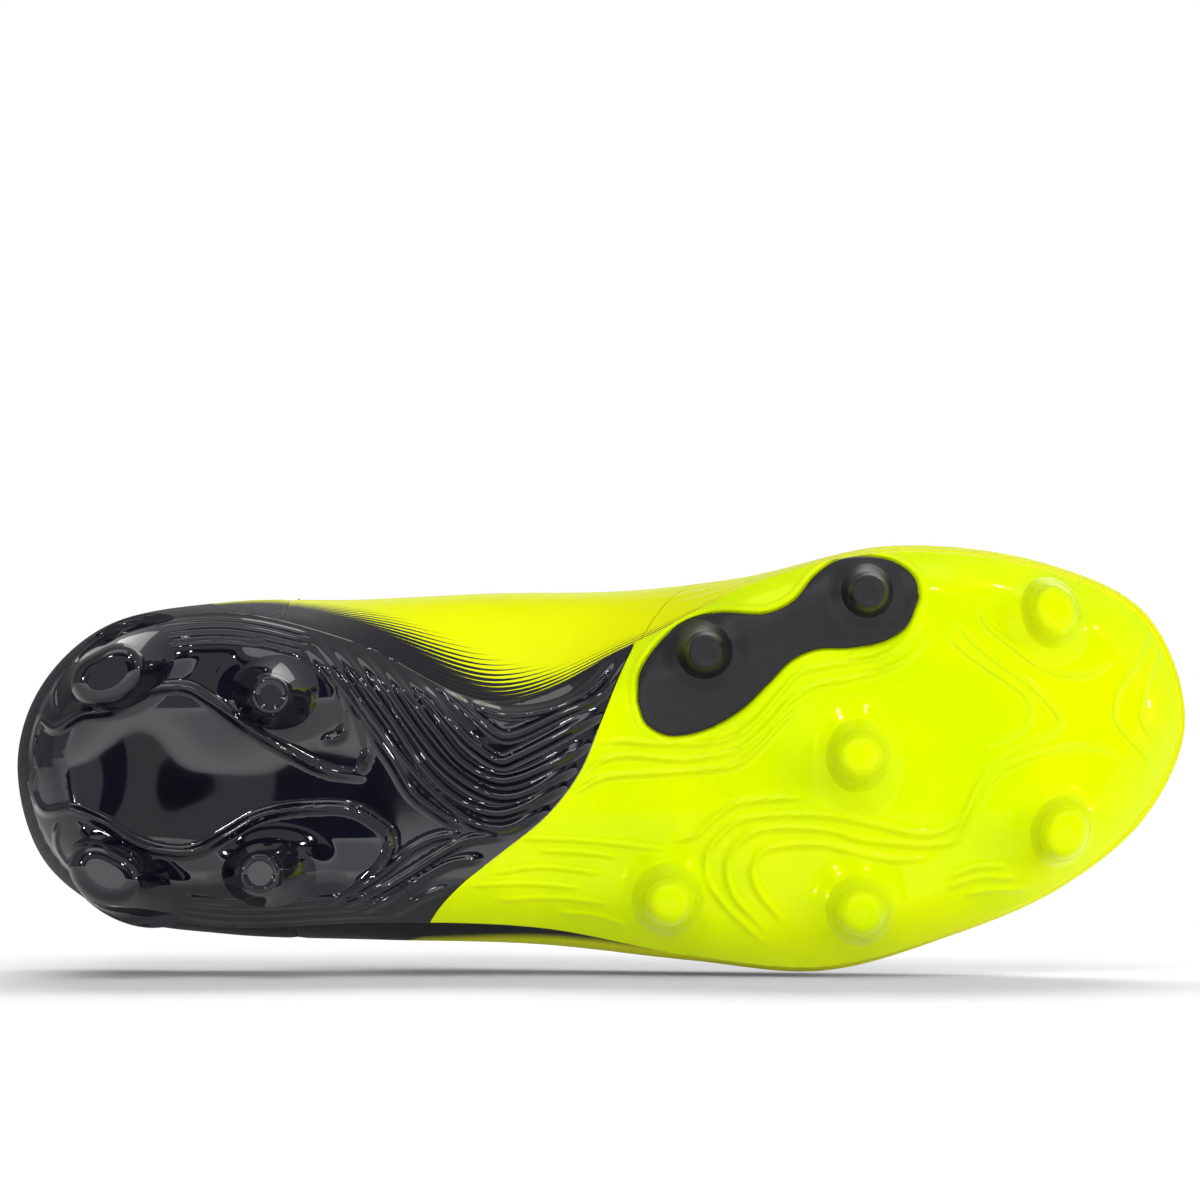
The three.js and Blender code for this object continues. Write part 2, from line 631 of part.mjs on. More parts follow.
function tonguePieces() {
  const knotPlaces = steps(tongueFrom, tongueTo, tongueSteps).map((knot) => ({ knot, past: 0 }));
  const freePlaces = (from, to, count) => steps(from, to, count).map((past) => ({ knot: tongueTo, past }));
  const padFrom = tongueRise + foldGap;
  return {
    base: tongueStrip([...knotPlaces, ...freePlaces(tongueRise / 3, tongueRise, riseSteps)], tongueThickness),
    pad: tongueStrip(freePlaces(padFrom, padFrom + tonguePadLength, padSteps), tonguePadThickness),
  };
}

// ---- Build ----
const boot = new THREE.Group();
function place(name, solid, material) {
  const mesh = new THREE.Mesh(solid.isBufferGeometry ? solid : geometryOf(solid), material);
  mesh.name = name;
  boot.add(mesh);
}

const sole = soleUnits();
place('heel_plate', sole.heel, blackPlastic);
place('forefoot_plate', sole.forefoot, yellowPlastic);
place('stud_carrier', sole.carrier, greyPlastic);
const tipMaterials = { heel: blackPlastic, forefoot: yellowPlastic, carrier: greyPlastic };
Object.entries(studs).forEach(([name, stud]) => {
  place(`stud_tip_${name}`, studTip(stud), tipMaterials[stud.base]);
});

const eyelets = eyeletBars();
const shell = shells();
const heelPanel = layer(-heelSeam, heelSeam, 0, topRow, even(0), even(upperThickness));
place('vamp', shell.vamp.subtract(eyelets), yellowSkin);
place('medial_quarter', shell.medial.subtract(eyelets), yellowSkin);
place('lateral_quarter', shell.lateral.subtract(eyelets), yellowSkin);
place('heel_panel', heelPanel, blackSkin);

const stay = (from, to) => layer(from, to, stayFoot, edgeRow, even(-overlayGap - overlayThickness), even(-overlayGap));
place('eyestay_lateral', stay(stayFrom, stayTo).subtract(eyelets), yellowSkin);
place('eyestay_medial', stay(knots - stayTo, knots - stayFrom).subtract(eyelets), yellowSkin);

const stiffenerInside = even(stiffenerDepth + counterThickness);
const counter = layer(-counterEnd, counterEnd, stiffenerFoot, counterTop, even(stiffenerDepth), stiffenerInside);
const puff = layer(puffFrom, knots - puffFrom, stiffenerFoot, puffTop, even(stiffenerDepth), stiffenerInside);
place('heel_counter', counter, boardFibre);
place('toe_puff', puff, boardFibre);

const foamInside = (k, r) => stiffenerDepth + counterThickness + padding(k, r);
const liningOuter = (k, r) => liningDepth + padding(k, r);
const liningInner = (k, r) => liningInside + padding(k, r);
const lining = (from, to) => layer(from, to, liningFoot, edgeRow, liningOuter, liningInner);
place('collar_foam', layer(-collarEnd, collarEnd, puffTop, edgeRow, even(stiffenerDepth), foamInside), foam);
place('heel_lining', lining(-liningSeam, liningSeam), blackFabric);
place('vamp_lining', lining(liningSeam, knots - liningSeam).subtract(eyelets), blackFabric);
place('collar_binding', collarBinding(), blackFabric);

const tongue = tonguePieces();
place('tongue', tongue.base, blackFabric);
place('tongue_pad', tongue.pad, blackFabric);

const boardInset = 10;
const sockInset = 8;
const innerStations = 22;
const innerColumns = 8;
const boardTop = (x, y) => boardUnder(x, y) + boardThickness;
const sockTop = (x, y) => sockUnder(x, y) + sockThickness;
place('strobel_board', dish(boardInset, boardUnder, boardTop, innerStations, innerColumns), boardFibre);
place('sockliner', dish(sockInset, sockUnder, sockTop, innerStations, innerColumns), blackFabric);

export default boot;
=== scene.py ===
"""A left soccer cleat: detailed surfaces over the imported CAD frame, with a studio around it."""

import json
import math

import bpy
import numpy as np
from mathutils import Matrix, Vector


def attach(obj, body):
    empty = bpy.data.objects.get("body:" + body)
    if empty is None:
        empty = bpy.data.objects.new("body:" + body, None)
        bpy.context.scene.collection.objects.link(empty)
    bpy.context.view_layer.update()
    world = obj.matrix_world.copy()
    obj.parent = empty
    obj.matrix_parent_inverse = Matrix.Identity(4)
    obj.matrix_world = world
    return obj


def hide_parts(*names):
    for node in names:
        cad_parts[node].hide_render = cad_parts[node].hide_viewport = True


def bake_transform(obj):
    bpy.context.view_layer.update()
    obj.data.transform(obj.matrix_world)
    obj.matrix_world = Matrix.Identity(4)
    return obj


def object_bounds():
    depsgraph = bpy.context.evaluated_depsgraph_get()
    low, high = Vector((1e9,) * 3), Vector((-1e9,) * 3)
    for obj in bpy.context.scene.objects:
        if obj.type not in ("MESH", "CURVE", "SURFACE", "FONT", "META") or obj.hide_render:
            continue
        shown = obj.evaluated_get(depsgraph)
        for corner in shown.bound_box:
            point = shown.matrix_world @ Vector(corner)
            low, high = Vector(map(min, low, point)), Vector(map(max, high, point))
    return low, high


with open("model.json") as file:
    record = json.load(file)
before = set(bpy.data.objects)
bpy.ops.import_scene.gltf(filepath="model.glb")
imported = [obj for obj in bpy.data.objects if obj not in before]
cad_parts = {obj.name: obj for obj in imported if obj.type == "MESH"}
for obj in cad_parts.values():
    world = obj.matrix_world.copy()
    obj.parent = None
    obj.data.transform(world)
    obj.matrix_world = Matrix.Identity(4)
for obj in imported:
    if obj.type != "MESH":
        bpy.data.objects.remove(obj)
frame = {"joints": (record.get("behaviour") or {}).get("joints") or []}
cad_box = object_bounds()
MM = 0.001

# ---- Sizes, in millimetres ----
PLATE = 2.4
RIM_WIDTH = 11
RIM_STEEPNESS = 1.2
CEMENT = 1.5
UPPER = 1.5
OVERLAY = 0.9
OVERLAY_GAP = 0.5
COUNTER = 1.1
LINING = 0.9
GAP = 0.3
COLLAR_PADDING = 3.2
BINDING = 1.8
BOARD = 1.5
SOCK = 3.6
TONGUE = 3.0
TONGUE_PAD = 6.5
TONGUE_CROWN = 0.06
TONGUE_RISE = 14  # from the last eyelets to the tongue's fold
FOLD_GAP = 2.2
PAD_LENGTH = 18
PAD_FROM = TONGUE_RISE + FOLD_GAP
TONGUE_PAST = PAD_FROM + PAD_LENGTH
EYELET = 2.2
TIP_HEIGHT = 3.2
KNOTS = 22
TOE = 11
TOP_ROW = 6

# ---- The drawn form: knot 0 at the heel, 11 at the toe, lateral side first ----
PLATE_EDGE = np.array([
    (-139, 2), (-132.5, 23), (-116, 35.5), (-92, 40.5), (-55, 39.5), (-15, 40.8),
    (22, 47.5), (54, 50), (84, 42), (111, 30), (131, 13), (140.5, -9),
    (131.5, -33.5), (107, -45.8), (70, -50), (38, -43), (8, -28), (-25, -13.8),
    (-60, -28.5), (-92, -35.5), (-119, -30), (-134, -16)], float)
WIDEST = np.array([
    (-142.5, 2, 42), (-136, 25, 41), (-118, 38.5, 40), (-92, 43, 40), (-55, 44.5, 42),
    (-15, 45.5, 42), (22, 49.3, 36), (54, 51.6, 31), (84, 43.5, 31), (112, 31.5, 33),
    (133, 14, 35), (142.5, -9, 37), (133, -35, 35), (108, -47.5, 33), (70, -51.6, 31),
    (38, -44, 35), (8, -39, 42), (-25, -38, 46), (-60, -38, 45), (-92, -37.8, 42),
    (-121, -32, 41), (-137, -17, 42)], float)
OPENING = np.array([
    (-133, 1.5, 92), (-129, 14, 91), (-114, 25, 84), (-90, 29.5, 75), (-60, 26, 78),
    (-38, 18, 97), (-12, 13, 92), (14, 8, 86), (36, 5, 76.5), (49, 3, 70.5),
    (54.5, 0, 68), (56, -4, 67), (54.5, -8, 68), (48, -11, 70.5), (32, -13, 78),
    (10, -15, 87.5), (-13, -19.5, 92.5), (-38, -24, 97), (-62, -26, 80), (-90, -27.5, 76),
    (-115, -23, 85), (-129, -11, 91)], float)
SWELL_OUT = np.array([1.5, 1.5, 2, 2.5, 3, 5, 6, 5, 5, 4, 3, 2, 3, 4, 5, 6, 6, 5, 3, 2.5, 2, 1.5])[:, None]
SWELL_UP = np.array([0, 0, 0, 0, 2, 6, 8, 8, 10, 11, 11, 11, 11, 11, 10, 8, 7, 6, 2, 0, 0, 0])[:, None]
SOLE_LINE = [
    (-142, 16), (-125, 13), (-100, 12.5), (-70, 13), (-40, 16), (-18, 17), (0, 16.5), (20, 14.5),
    (45, 12.3), (65, 11.8), (85, 12.6), (105, 15), (125, 19), (143, 23.5)]
RIM_LINE = [(-143, 8), (-90, 8), (-25, 5), (30, 6), (80, 6), (143, 5)]
JOINT = np.array([
    (14, -48), (9, -30), (5, -21.5), (0, -9), (-5, 3), (-13, 13.5), (-24, 22.5), (-34, 30.5),
    (-40.5, 38), (-45, 48)], float)
CARRIER_OUTER = np.array([
    (9, -14), (9.6, -21), (14.5, -28.5), (20.3, -33.1), (28.1, -35.4), (39.8, -35.2), (46.5, -38.2),
    (51.7, -44.4), (57, -48), (64, -49), (71, -47.6), (75.6, -43.8), (76.6, -39)], float)
CARRIER_INNER = np.array([
    (9, -14), (11, -8.8), (15.7, -6), (21, -6.1), (27, -8), (34, -12.2), (40.5, -18.5),
    (46, -24), (52, -26.6), (60, -27), (68, -28.5), (73.5, -32), (76.6, -39)], float)

# Studs: the tip's place and half-sizes, the foot's place and half-sizes, the angle of both, how far
# the tip stays off the ground, and the unit that the stud belongs to.
STUDS = {
    "heel_medial_rear": ((-118, -20.5), (8.4, 6.3), (-113.5, -23), (17, 10.5), -28, 0, "heel"),
    "heel_medial_front": ((-79, -15.7), (4.3, 4.3), (-77.5, -16.5), (15, 11.5), 0, 0, "heel"),
    "heel_lateral_rear": ((-118.5, 27), (8.4, 6.2), (-114, 29), (16.5, 10), 28, 0, "heel"),
    "heel_lateral_front": ((-81.5, 27), (4.6, 4.6), (-78, 27), (15.5, 10.5), 0, 0, "heel"),
    "ball_medial_rear": ((25.2, -26.2), (3.8, 3.8), (25, -26), (9.5, 9.5), 0, 0, "carrier"),
    "ball_medial_front": ((64.2, -40.5), (3.8, 3.8), (64.2, -40), (9, 9), 0, 0, "carrier"),
    "ball_centre": ((62, -1), (4.6, 4.4), (62, -1), (10.5, 14), 0, 0, "forefoot"),
    "ball_lateral_front": ((62.5, 36.5), (4.8, 4.6), (62, 35), (11, 12), 0, 0, "forefoot"),
    "ball_lateral_rear": ((16.5, 34), (4.7, 4.6), (16, 33), (11, 11.5), 0, 0, "forefoot"),
    "toe_medial": ((109, -36), (5.6, 4.5), (108, -34), (11, 9.5), 70, 3.5, "forefoot"),
    "toe_lateral": ((111.5, 17.5), (5.6, 4.6), (110, 16.5), (11, 9.5), -68, 3.5, "forefoot"),
}


# ---- Curves ----
def unit(vectors):
    return vectors / np.linalg.norm(vectors, axis=-1, keepdims=True)


def run_lengths(path):
    """How far along a path each of its points lies."""
    return np.concatenate([[0], np.cumsum(np.linalg.norm(np.diff(path, axis=0), axis=1))])


def cubic(start, end, out, into, t):
    """From start to end, leaving with one slope and arriving with another."""
    t2, t3 = t * t, t * t * t
    return ((2 * t3 - 3 * t2 + 1) * start + (t3 - 2 * t2 + t) * out
            + (-2 * t3 + 3 * t2) * end + (t3 - t2) * into)


def between(p0, p1, p2, p3, t):
    """The smooth curve through four points, between the middle two."""
    def step(a, b):
        return np.maximum(np.linalg.norm(b - a, axis=-1, keepdims=True) ** 0.5, 1e-4)
    d0, d1, d2 = step(p0, p1), step(p1, p2), step(p2, p3)
    out = d1 * ((p1 - p0) / d0 - (p2 - p0) / (d0 + d1) + (p2 - p1) / d1)
    into = d1 * ((p2 - p1) / d1 - (p3 - p1) / (d1 + d2) + (p3 - p2) / d2)
    return cubic(p1, p2, out, into, t)


def on_outline(points, at):
    i = np.floor(at).astype(int)
    p = [points[(i + j) % len(points)] for j in (-1, 0, 1, 2)]
    return between(*p, (at - i)[..., None])


def on_line(points, at):
    """Along the first axis of points, whose ends run straight on."""
    at = np.asarray(at, float)
    last = len(points) - 1
    ends = np.concatenate([[2 * points[0] - points[1]], points, [2 * points[last] - points[last - 1]]])
    i = np.clip(np.floor(at).astype(int), 0, last - 1)
    t = (at - i).reshape(at.shape + (1,) * (points.ndim - 1))
    return between(ends[i], ends[i + 1], ends[i + 2], ends[i + 3], t)


def along(table, x):
    """A smooth height line's value at each x."""
    xs, ys = np.array(table, float).T
    slopes = np.array([(ys[min(i + 1, len(xs) - 1)] - ys[max(i - 1, 0)])
                       / (xs[min(i + 1, len(xs) - 1)] - xs[max(i - 1, 0)]) for i in range(len(xs))])
    x = np.clip(x, xs[0], xs[-1])
    i = np.clip(np.searchsorted(xs, x, side="right") - 1, 0, len(xs) - 2)
    span = xs[i + 1] - xs[i]
    return cubic(ys[i], ys[i + 1], span * slopes[i], span * slopes[i + 1], (x - xs[i]) / span)


def smooth_line(points, per_span=8):
    points = np.array(points, float)
    return on_line(points, np.linspace(0, len(points) - 1, (len(points) - 1) * per_span + 1))


def distance_to(line, x, y, closed=False):
    """The distance of each plan point from a line, and how far along it the nearest point is."""
    a = line if closed else line[:-1]
    b = np.roll(line, -1, axis=0) if closed else line[1:]
    best = np.full(x.shape, 1e9)
    where = np.zeros(x.shape)
    for i, ((ax, ay), (bx, by)) in enumerate(zip(a, b)):
        dx, dy = bx - ax, by - ay
        t = np.clip(((x - ax) * dx + (y - ay) * dy) / max(dx * dx + dy * dy, 1e-12), 0, 1)
        d = (x - ax - t * dx) ** 2 + (y - ay - t * dy) ** 2
        nearer = d < best
        best = np.where(nearer, d, best)
        where = np.where(nearer, (i + t) / len(a), where)
    return np.sqrt(best), where


def ramp(x, start, end):
    """0 at start, 1 at end, eased at both."""
    t = np.clip((x - start) / (end - start), 0, 1)
    return t * t * (3 - 2 * t)


# ---- The sole's surfaces ----
EDGE_LINE = on_outline(PLATE_EDGE, np.arange(0, KNOTS, 1 / 6))


def curl(x, y):
    """How far the plate has curled up towards its edge, from 0 to 1."""
    inside, _ = distance_to(EDGE_LINE, x, y, closed=True)
    return np.maximum(0, 1 - inside / RIM_WIDTH) ** 2


def sole_under(x, y):
    return along(SOLE_LINE, x) + along(RIM_LINE, x) * curl(x, y)


def sole_top(x, y):
    return sole_under(x, y) + PLATE * (1 + RIM_STEEPNESS * curl(x, y))


def inset_edge(knot, inset):
    """Plan points that lie inside the plate's edge."""
    edge = on_outline(PLATE_EDGE, knot)
    d = unit(on_outline(PLATE_EDGE, knot + 0.05) - on_outline(PLATE_EDGE, knot - 0.05))
    return edge + np.stack([d[..., 1], -d[..., 0]], axis=-1) * inset


# ---- The upper's surface ----
MARGIN_INSETS = (14, 9.5, 1.2)  # of the lasted margin's rows from the plate's edge
SWELLING_ROWS = ((0.28, 1), (0.62, 0.7))  # the share of the way to the opening, and of the swelling


def rows_at(knot):
    """The seven points that the upper's section runs through at each knot."""
    def low(inset):
        p = inset_edge(knot, inset)
        return np.column_stack([p, sole_top(p[:, 0], p[:, 1]) + CEMENT])
    widest = on_outline(WIDEST, knot)
    opening = on_outline(OPENING, knot)
    spine = (on_outline(PLATE_EDGE, knot) + on_outline(PLATE_EDGE, KNOTS - knot)) / 2
    outward = unit(widest[:, :2] - spine)
    out, up = on_outline(SWELL_OUT, knot), on_outline(SWELL_UP, knot)

    def swell(share, amount):
        p = widest + (opening - widest) * share
        return p + np.hstack([outward * out, up]) * amount
    margin = [low(inset) for inset in MARGIN_INSETS]
    swelling = [swell(*row) for row in SWELLING_ROWS]
    return np.stack([*margin, widest, *swelling, opening])


def skin_grid(knots, rows):
    """Points of the upper's outer face: one row of the result for each knot."""
    return on_line(rows_at(np.asarray(knots, float)), rows).transpose(1, 0, 2)


def within(knots, rows, depth):
    """The outer face moved inwards by a depth that may differ over the grid."""
    knots, rows = np.asarray(knots, float), np.asarray(rows, float)
    across = skin_grid(knots + 0.02, rows) - skin_grid(knots - 0.02, rows)
    up = skin_grid(knots, np.minimum(rows + 0.02, TOP_ROW)) - skin_grid(knots, np.maximum(rows - 0.02, 0))
    depth = np.asarray(depth, float)
    return skin_grid(knots, rows) - unit(np.cross(up, across)) * depth.reshape(depth.shape + (1,))


# ---- Meshes ----
def piece(name, points, faces, uv=None):
    """A new object from points in millimetres."""
    mesh = bpy.data.meshes.new(name)
    mesh.from_pydata((np.asarray(points) * MM).tolist(), [], [list(f) for f in faces])
    if uv is not None:
        layer = mesh.uv_layers.new(name="surface")
        corners = np.empty(len(mesh.loops), int)
        mesh.loops.foreach_get("vertex_index", corners)
        layer.data.foreach_set("uv", np.asarray(uv, float)[corners].ravel())
    mesh.validate()
    obj = bpy.data.objects.new(name, mesh)
    bpy.context.collection.objects.link(obj)
    return obj


def points_of(mesh):
    co = np.empty(len(mesh.vertices) * 3)
    mesh.vertices.foreach_get("co", co)
    return co.reshape(-1, 3)


def move_points(mesh, co):
    mesh.vertices.foreach_set("co", co.ravel())
    mesh.update()


def outward_faces(obj):
    """Turns a closed piece's faces outwards, by its volume's sign."""
    mesh = obj.data
    mesh.calc_loop_triangles()
    t = np.empty(len(mesh.loop_triangles) * 3, int)
    mesh.loop_triangles.foreach_get("vertices", t)
    a, b, c = points_of(mesh)[t.reshape(-1, 3)].transpose(1, 0, 2)
    if np.einsum("ij,ij->i", a, np.cross(b, c)).sum() < 0:
        mesh.flip_normals()


def quads(rows, columns, start=0, flip=False):
    i, j = np.meshgrid(np.arange(rows - 1), np.arange(columns - 1), indexing="ij")
    a = start + i * columns + j
    q = np.stack([a, a + columns, a + columns + 1, a + 1], axis=-1).reshape(-1, 4)
    return (q[:, ::-1] if flip else q).tolist()


def slab(name, front, back, uv=None, step=1):
    """A closed solid between two grids. The back grid may be coarser by a whole step."""
    rows, columns = front.shape[:2]
    coarse = back[::step, ::step]
    r2, c2 = coarse.shape[:2]
    first = rows * columns
    faces = quads(rows, columns) + quads(r2, c2, first, flip=True)
    rim = [(i, 0) for i in range(rows)]
    rim += [(rows - 1, j) for j in range(1, columns)]
    rim += [(i, columns - 1) for i in range(rows - 2, -1, -1)]
    rim += [(0, j) for j in range(columns - 2, 0, -1)]
    for n in range(0, len(rim), step):
        fine = [rim[(n + k) % len(rim)] for k in range(step + 1)]
        ends = [fine[-1], fine[0]]
        faces.append([i * columns + j for i, j in fine]
                     + [first + (i // step) * c2 + j // step for i, j in ends])
    points = np.vstack([front.reshape(-1, 3), coarse.reshape(-1, 3)])
    if uv is not None:
        uv = np.vstack([uv.reshape(-1, 2), uv[::step, ::step].reshape(-1, 2)])
    obj = piece(name, points, faces, uv)
    merge_close(obj)
    outward_faces(obj)
    return obj


def only(obj):
    """Selects one object, and makes it the active one."""
    bpy.ops.object.select_all(action="DESELECT")
    obj.select_set(True)
    bpy.context.view_layer.objects.active = obj


def merge_close(obj, distance=2e-6):
    only(obj)
    bpy.ops.object.mode_set(mode="EDIT")
    bpy.ops.mesh.select_all(action="SELECT")
    bpy.ops.mesh.remove_doubles(threshold=distance)
    bpy.ops.mesh.normals_make_consistent(inside=False)
    bpy.ops.object.mode_set(mode="OBJECT")


def shade(obj, degrees=38):
    only(obj)
    bpy.ops.object.shade_smooth_by_angle(angle=math.radians(degrees))


def joined(name, parts):
    bpy.ops.object.select_all(action="DESELECT")
    for part in parts:
        part.select_set(True)
    bpy.context.view_layer.objects.active = parts[0]
    if len(parts) > 1:
        bpy.ops.object.join()
    parts[0].name = name
    return parts[0]


def cut(obj, cutter):
    only(obj)
    modifier = obj.modifiers.new("cut", "BOOLEAN")
    modifier.object = cutter
    modifier.operation = "DIFFERENCE"
    modifier.solver = "EXACT"
    bpy.ops.object.modifier_apply(modifier=modifier.name)


def ring_faces(count, sides):
    """The faces of a stack of rings, with both ends closed."""
    faces = []
    for i in range(count - 1):
        for j in range(sides):
            ahead = (j + 1) % sides
            faces.append([i * sides + j, i * sides + ahead, (i + 1) * sides + ahead, (i + 1) * sides + j])
    return faces + [list(range(sides)), list(range((count - 1) * sides, count * sides))[::-1]]


def tube(name, path, radius, sides=10):
    """A round bar along a path, with closed ends."""
    path = np.asarray(path, float)
    ahead = unit(np.gradient(path, axis=0))
    side = unit(np.cross(ahead, (0.0, 0.0, 1.0)))
    over = np.cross(side, ahead)
    turn = np.linspace(0, 2 * np.pi, sides, endpoint=False)
    rings = (path[:, None] + radius * (np.cos(turn)[None, :, None] * side[:, None]
                                       + np.sin(turn)[None, :, None] * over[:, None]))
    uv = np.stack(np.broadcast_arrays(run_lengths(path)[:, None], (turn * radius)[None]), axis=-1) * MM
    obj = piece(name, rings.reshape(-1, 3), ring_faces(len(path), sides), uv.reshape(-1, 2))
    outward_faces(obj)
    return obj


# ---- Materials ----
class Value:
    """A number socket in a node tree. Arithmetic on it adds Math nodes."""

    def __init__(self, tree, socket):
        self.tree, self.socket = tree, socket

    def math(self, operation, *others):
        node = self.tree.nodes.new("ShaderNodeMath")
        node.operation = operation
        for slot, value in zip(node.inputs, (self, *others)):
            if isinstance(value, Value):
                self.tree.links.new(value.socket, slot)
            else:
                slot.default_value = value
        return Value(self.tree, node.outputs[0])

    def __add__(self, other):
        return self.math("ADD", other)

    def __mul__(self, other):
        return self.math("MULTIPLY", other)

    def __sub__(self, other):
        return self.math("SUBTRACT", other)

    __radd__, __rmul__ = __add__, __mul__

    def __rsub__(self, other):
        return (self * -1) + other

    def step(self, start, end):
        """0 below start, 1 above end."""
        node = self.tree.nodes.new("ShaderNodeMapRange")
        node.interpolation_type = "SMOOTHSTEP"
        self.tree.links.new(self.socket, node.inputs["Value"])
        node.inputs["From Min"].default_value = start
        node.inputs["From Max"].default_value = end
        return Value(self.tree, node.outputs["Result"])


class Finish:
    """A material with one Principled shader, built up by small calls."""

    def __init__(self, name, **settings):
        self.material = bpy.data.materials.new(name)
        self.material.use_nodes = True
        self.tree = self.material.node_tree
        self.shader = self.tree.nodes["Principled BSDF"]
        for key, value in settings.items():
            self.shader.inputs[key.replace("_", " ")].default_value = value
        self.height = None

    def node(self, kind, settings=None, inputs=None, output=0):
        node = self.tree.nodes.new(kind)
        for key, value in (settings or {}).items():
            setattr(node, key, value)
        for key, value in (inputs or {}).items():
            if isinstance(value, Value):
                self.tree.links.new(value.socket, node.inputs[key])
            else:
                node.inputs[key].default_value = value
        return Value(self.tree, node.outputs[output])

    def place(self, scale=(1, 1, 1), uv=False):
        source = self.node("ShaderNodeUVMap", {"uv_map": "surface"}) if uv else \
            self.node("ShaderNodeTexCoord", output="Object")
        return self.node("ShaderNodeMapping", inputs={"Vector": source, "Scale": scale})

    def noise(self, scale, detail=2.0, stretch=(1, 1, 1), uv=False, roughness=0.5):
        return self.node("ShaderNodeTexNoise", inputs={
            "Vector": self.place(stretch, uv), "Scale": scale, "Detail": detail, "Roughness": roughness})

    def cells(self, scale, stretch=(1, 1, 1), uv=False, feature="F1"):
        return self.node("ShaderNodeTexVoronoi", {"feature": feature}, {
            "Vector": self.place(stretch, uv), "Scale": scale}, "Distance")

    def axis(self, index, uv=False):
        source = self.place(uv=uv)
        return self.node("ShaderNodeSeparateXYZ", inputs={"Vector": source}, output=index)

    def mix(self, factor, a, b):
        node = self.tree.nodes.new("ShaderNodeMix")
        node.data_type = "RGBA"
        for slot, value in ((node.inputs[0], factor), (node.inputs[6], a), (node.inputs[7], b)):
            if isinstance(value, Value):
                self.tree.links.new(value.socket, slot)
            else:
                slot.default_value = value if isinstance(value, float) else (*value, 1)
        return Value(self.tree, node.outputs[2])

    def wire(self, name, value):
        self.tree.links.new(value.socket, self.shader.inputs[name])
        return self

    def bump(self, height, distance, strength=1.0):
        inputs = {"Height": height, "Distance": distance, "Strength": strength}
        if self.height is not None:
            inputs["Normal"] = self.height
        self.height = self.node("ShaderNodeBump", inputs=inputs)
        return self.wire("Normal", self.height)


ROW_LENGTH = 0.02  # one row of the upper's height, in metres, on its surface map
LIME_PAINTED_GLOW = 0.06  # painted glow: the lime surfaces give off a little light of their own, as fluorescent colours give back more light than falls on them
BLACK = (0.0035, 0.0037, 0.007)
BLACK_HAZE = (0.006, 0.007, 0.014)
GREY = (0.006, 0.0055, 0.008)
GREY_HAZE = (0.010, 0.009, 0.013)
CUSHION_LOOP = 1 / 0.0013  # wales and courses to a metre
LIME = (0.76, 0.91, 0.0)
LIME_DEEP = (0.64, 0.86, 0.0)
SKIN = (0.86, 0.93, 0.0)
TEXTILE = (0.022, 0.021, 0.029)
# Painted shade: the textile's darker tone inside its grooves.
TEXTILE_GROOVE_PAINTED_SHADE = (0.008, 0.008, 0.012)


def black_moulding():
    """Deep glossy black, with the faint haze of handling."""
    f = Finish("black_moulding", Coat_Weight=0.35, Coat_Roughness=0.02, IOR=1.5)
    haze = f.noise(60, 3)
    f.wire("Base Color", f.mix(haze.step(0.3, 0.8), BLACK, BLACK_HAZE))
    f.wire("Roughness", f.noise(180, 4) * 0.03 + 0.03)
    return f.bump(f.noise(45, 2), 0.00008, 0.4).material


def lime_moulding():
    """Fluorescent glossy plastic, a little deeper in tone in random patches."""
    f = Finish("lime_moulding", Coat_Weight=0.16, Coat_Roughness=0.03, IOR=1.5, Specular_Tint=(1, 1, 0, 1),
               Emission_Strength=LIME_PAINTED_GLOW)
    tint = f.mix(f.noise(35, 3).step(0.3, 0.75), LIME, LIME_DEEP)
    f.wire("Base Color", tint)
    # Painted glow: the plastic gives off a little light in its own tint.
    f.wire("Emission Color", tint)
    f.wire("Roughness", f.noise(160, 4) * 0.1 + 0.16)
    return f.bump(f.noise(70, 2), 0.00008, 0.4).material


def grey_moulding():
    """Satin rubber-like plastic with a fine grain."""
    f = Finish("grey_moulding", IOR=1.46)
    f.wire("Base Color", f.mix(f.noise(300, 4).step(0.3, 0.8), GREY, GREY_HAZE))
    f.wire("Roughness", f.noise(260, 4) * 0.14 + 0.36)
    return f.bump(f.cells(1900), 0.00003, 0.35).material


LINE_PITCH = 0.04  # of the printed lines, in rows
PRINT_ROW = 1.95  # how high the print reaches at its thin end
PRINT_RISE = 0.95  # how much higher it reaches at its heel end
PRINT_LATERAL = (6.1, 2.5)  # the knot where it starts to rise on the outer side, and over how many knots
PRINT_MEDIAL = (16.5, 2.6)
WHOLE_WALL = 4.5  # rows that carry the print over the whole height of the upper
SKIN_RIB_PITCH = 0.26  # in rows


def printed_lines(f, row):
    """0 to 1 and back over each printed line."""
    wander = (f.noise(14, 2) - 0.5) * 0.08
    return ((row + wander) * (1 / LINE_PITCH)).math("FRACT").math("SUBTRACT", 0.5).math("ABSOLUTE") * 2


def printed_up_to(border, row, wave):
    """The printed lines: wide below the border, thinning out over half a row above it."""
    duty = 1 - (row - border).step(-0.12, 0.42)
    return (duty * 1.3 - 0.12 - wave).step(-0.05, 0.08)


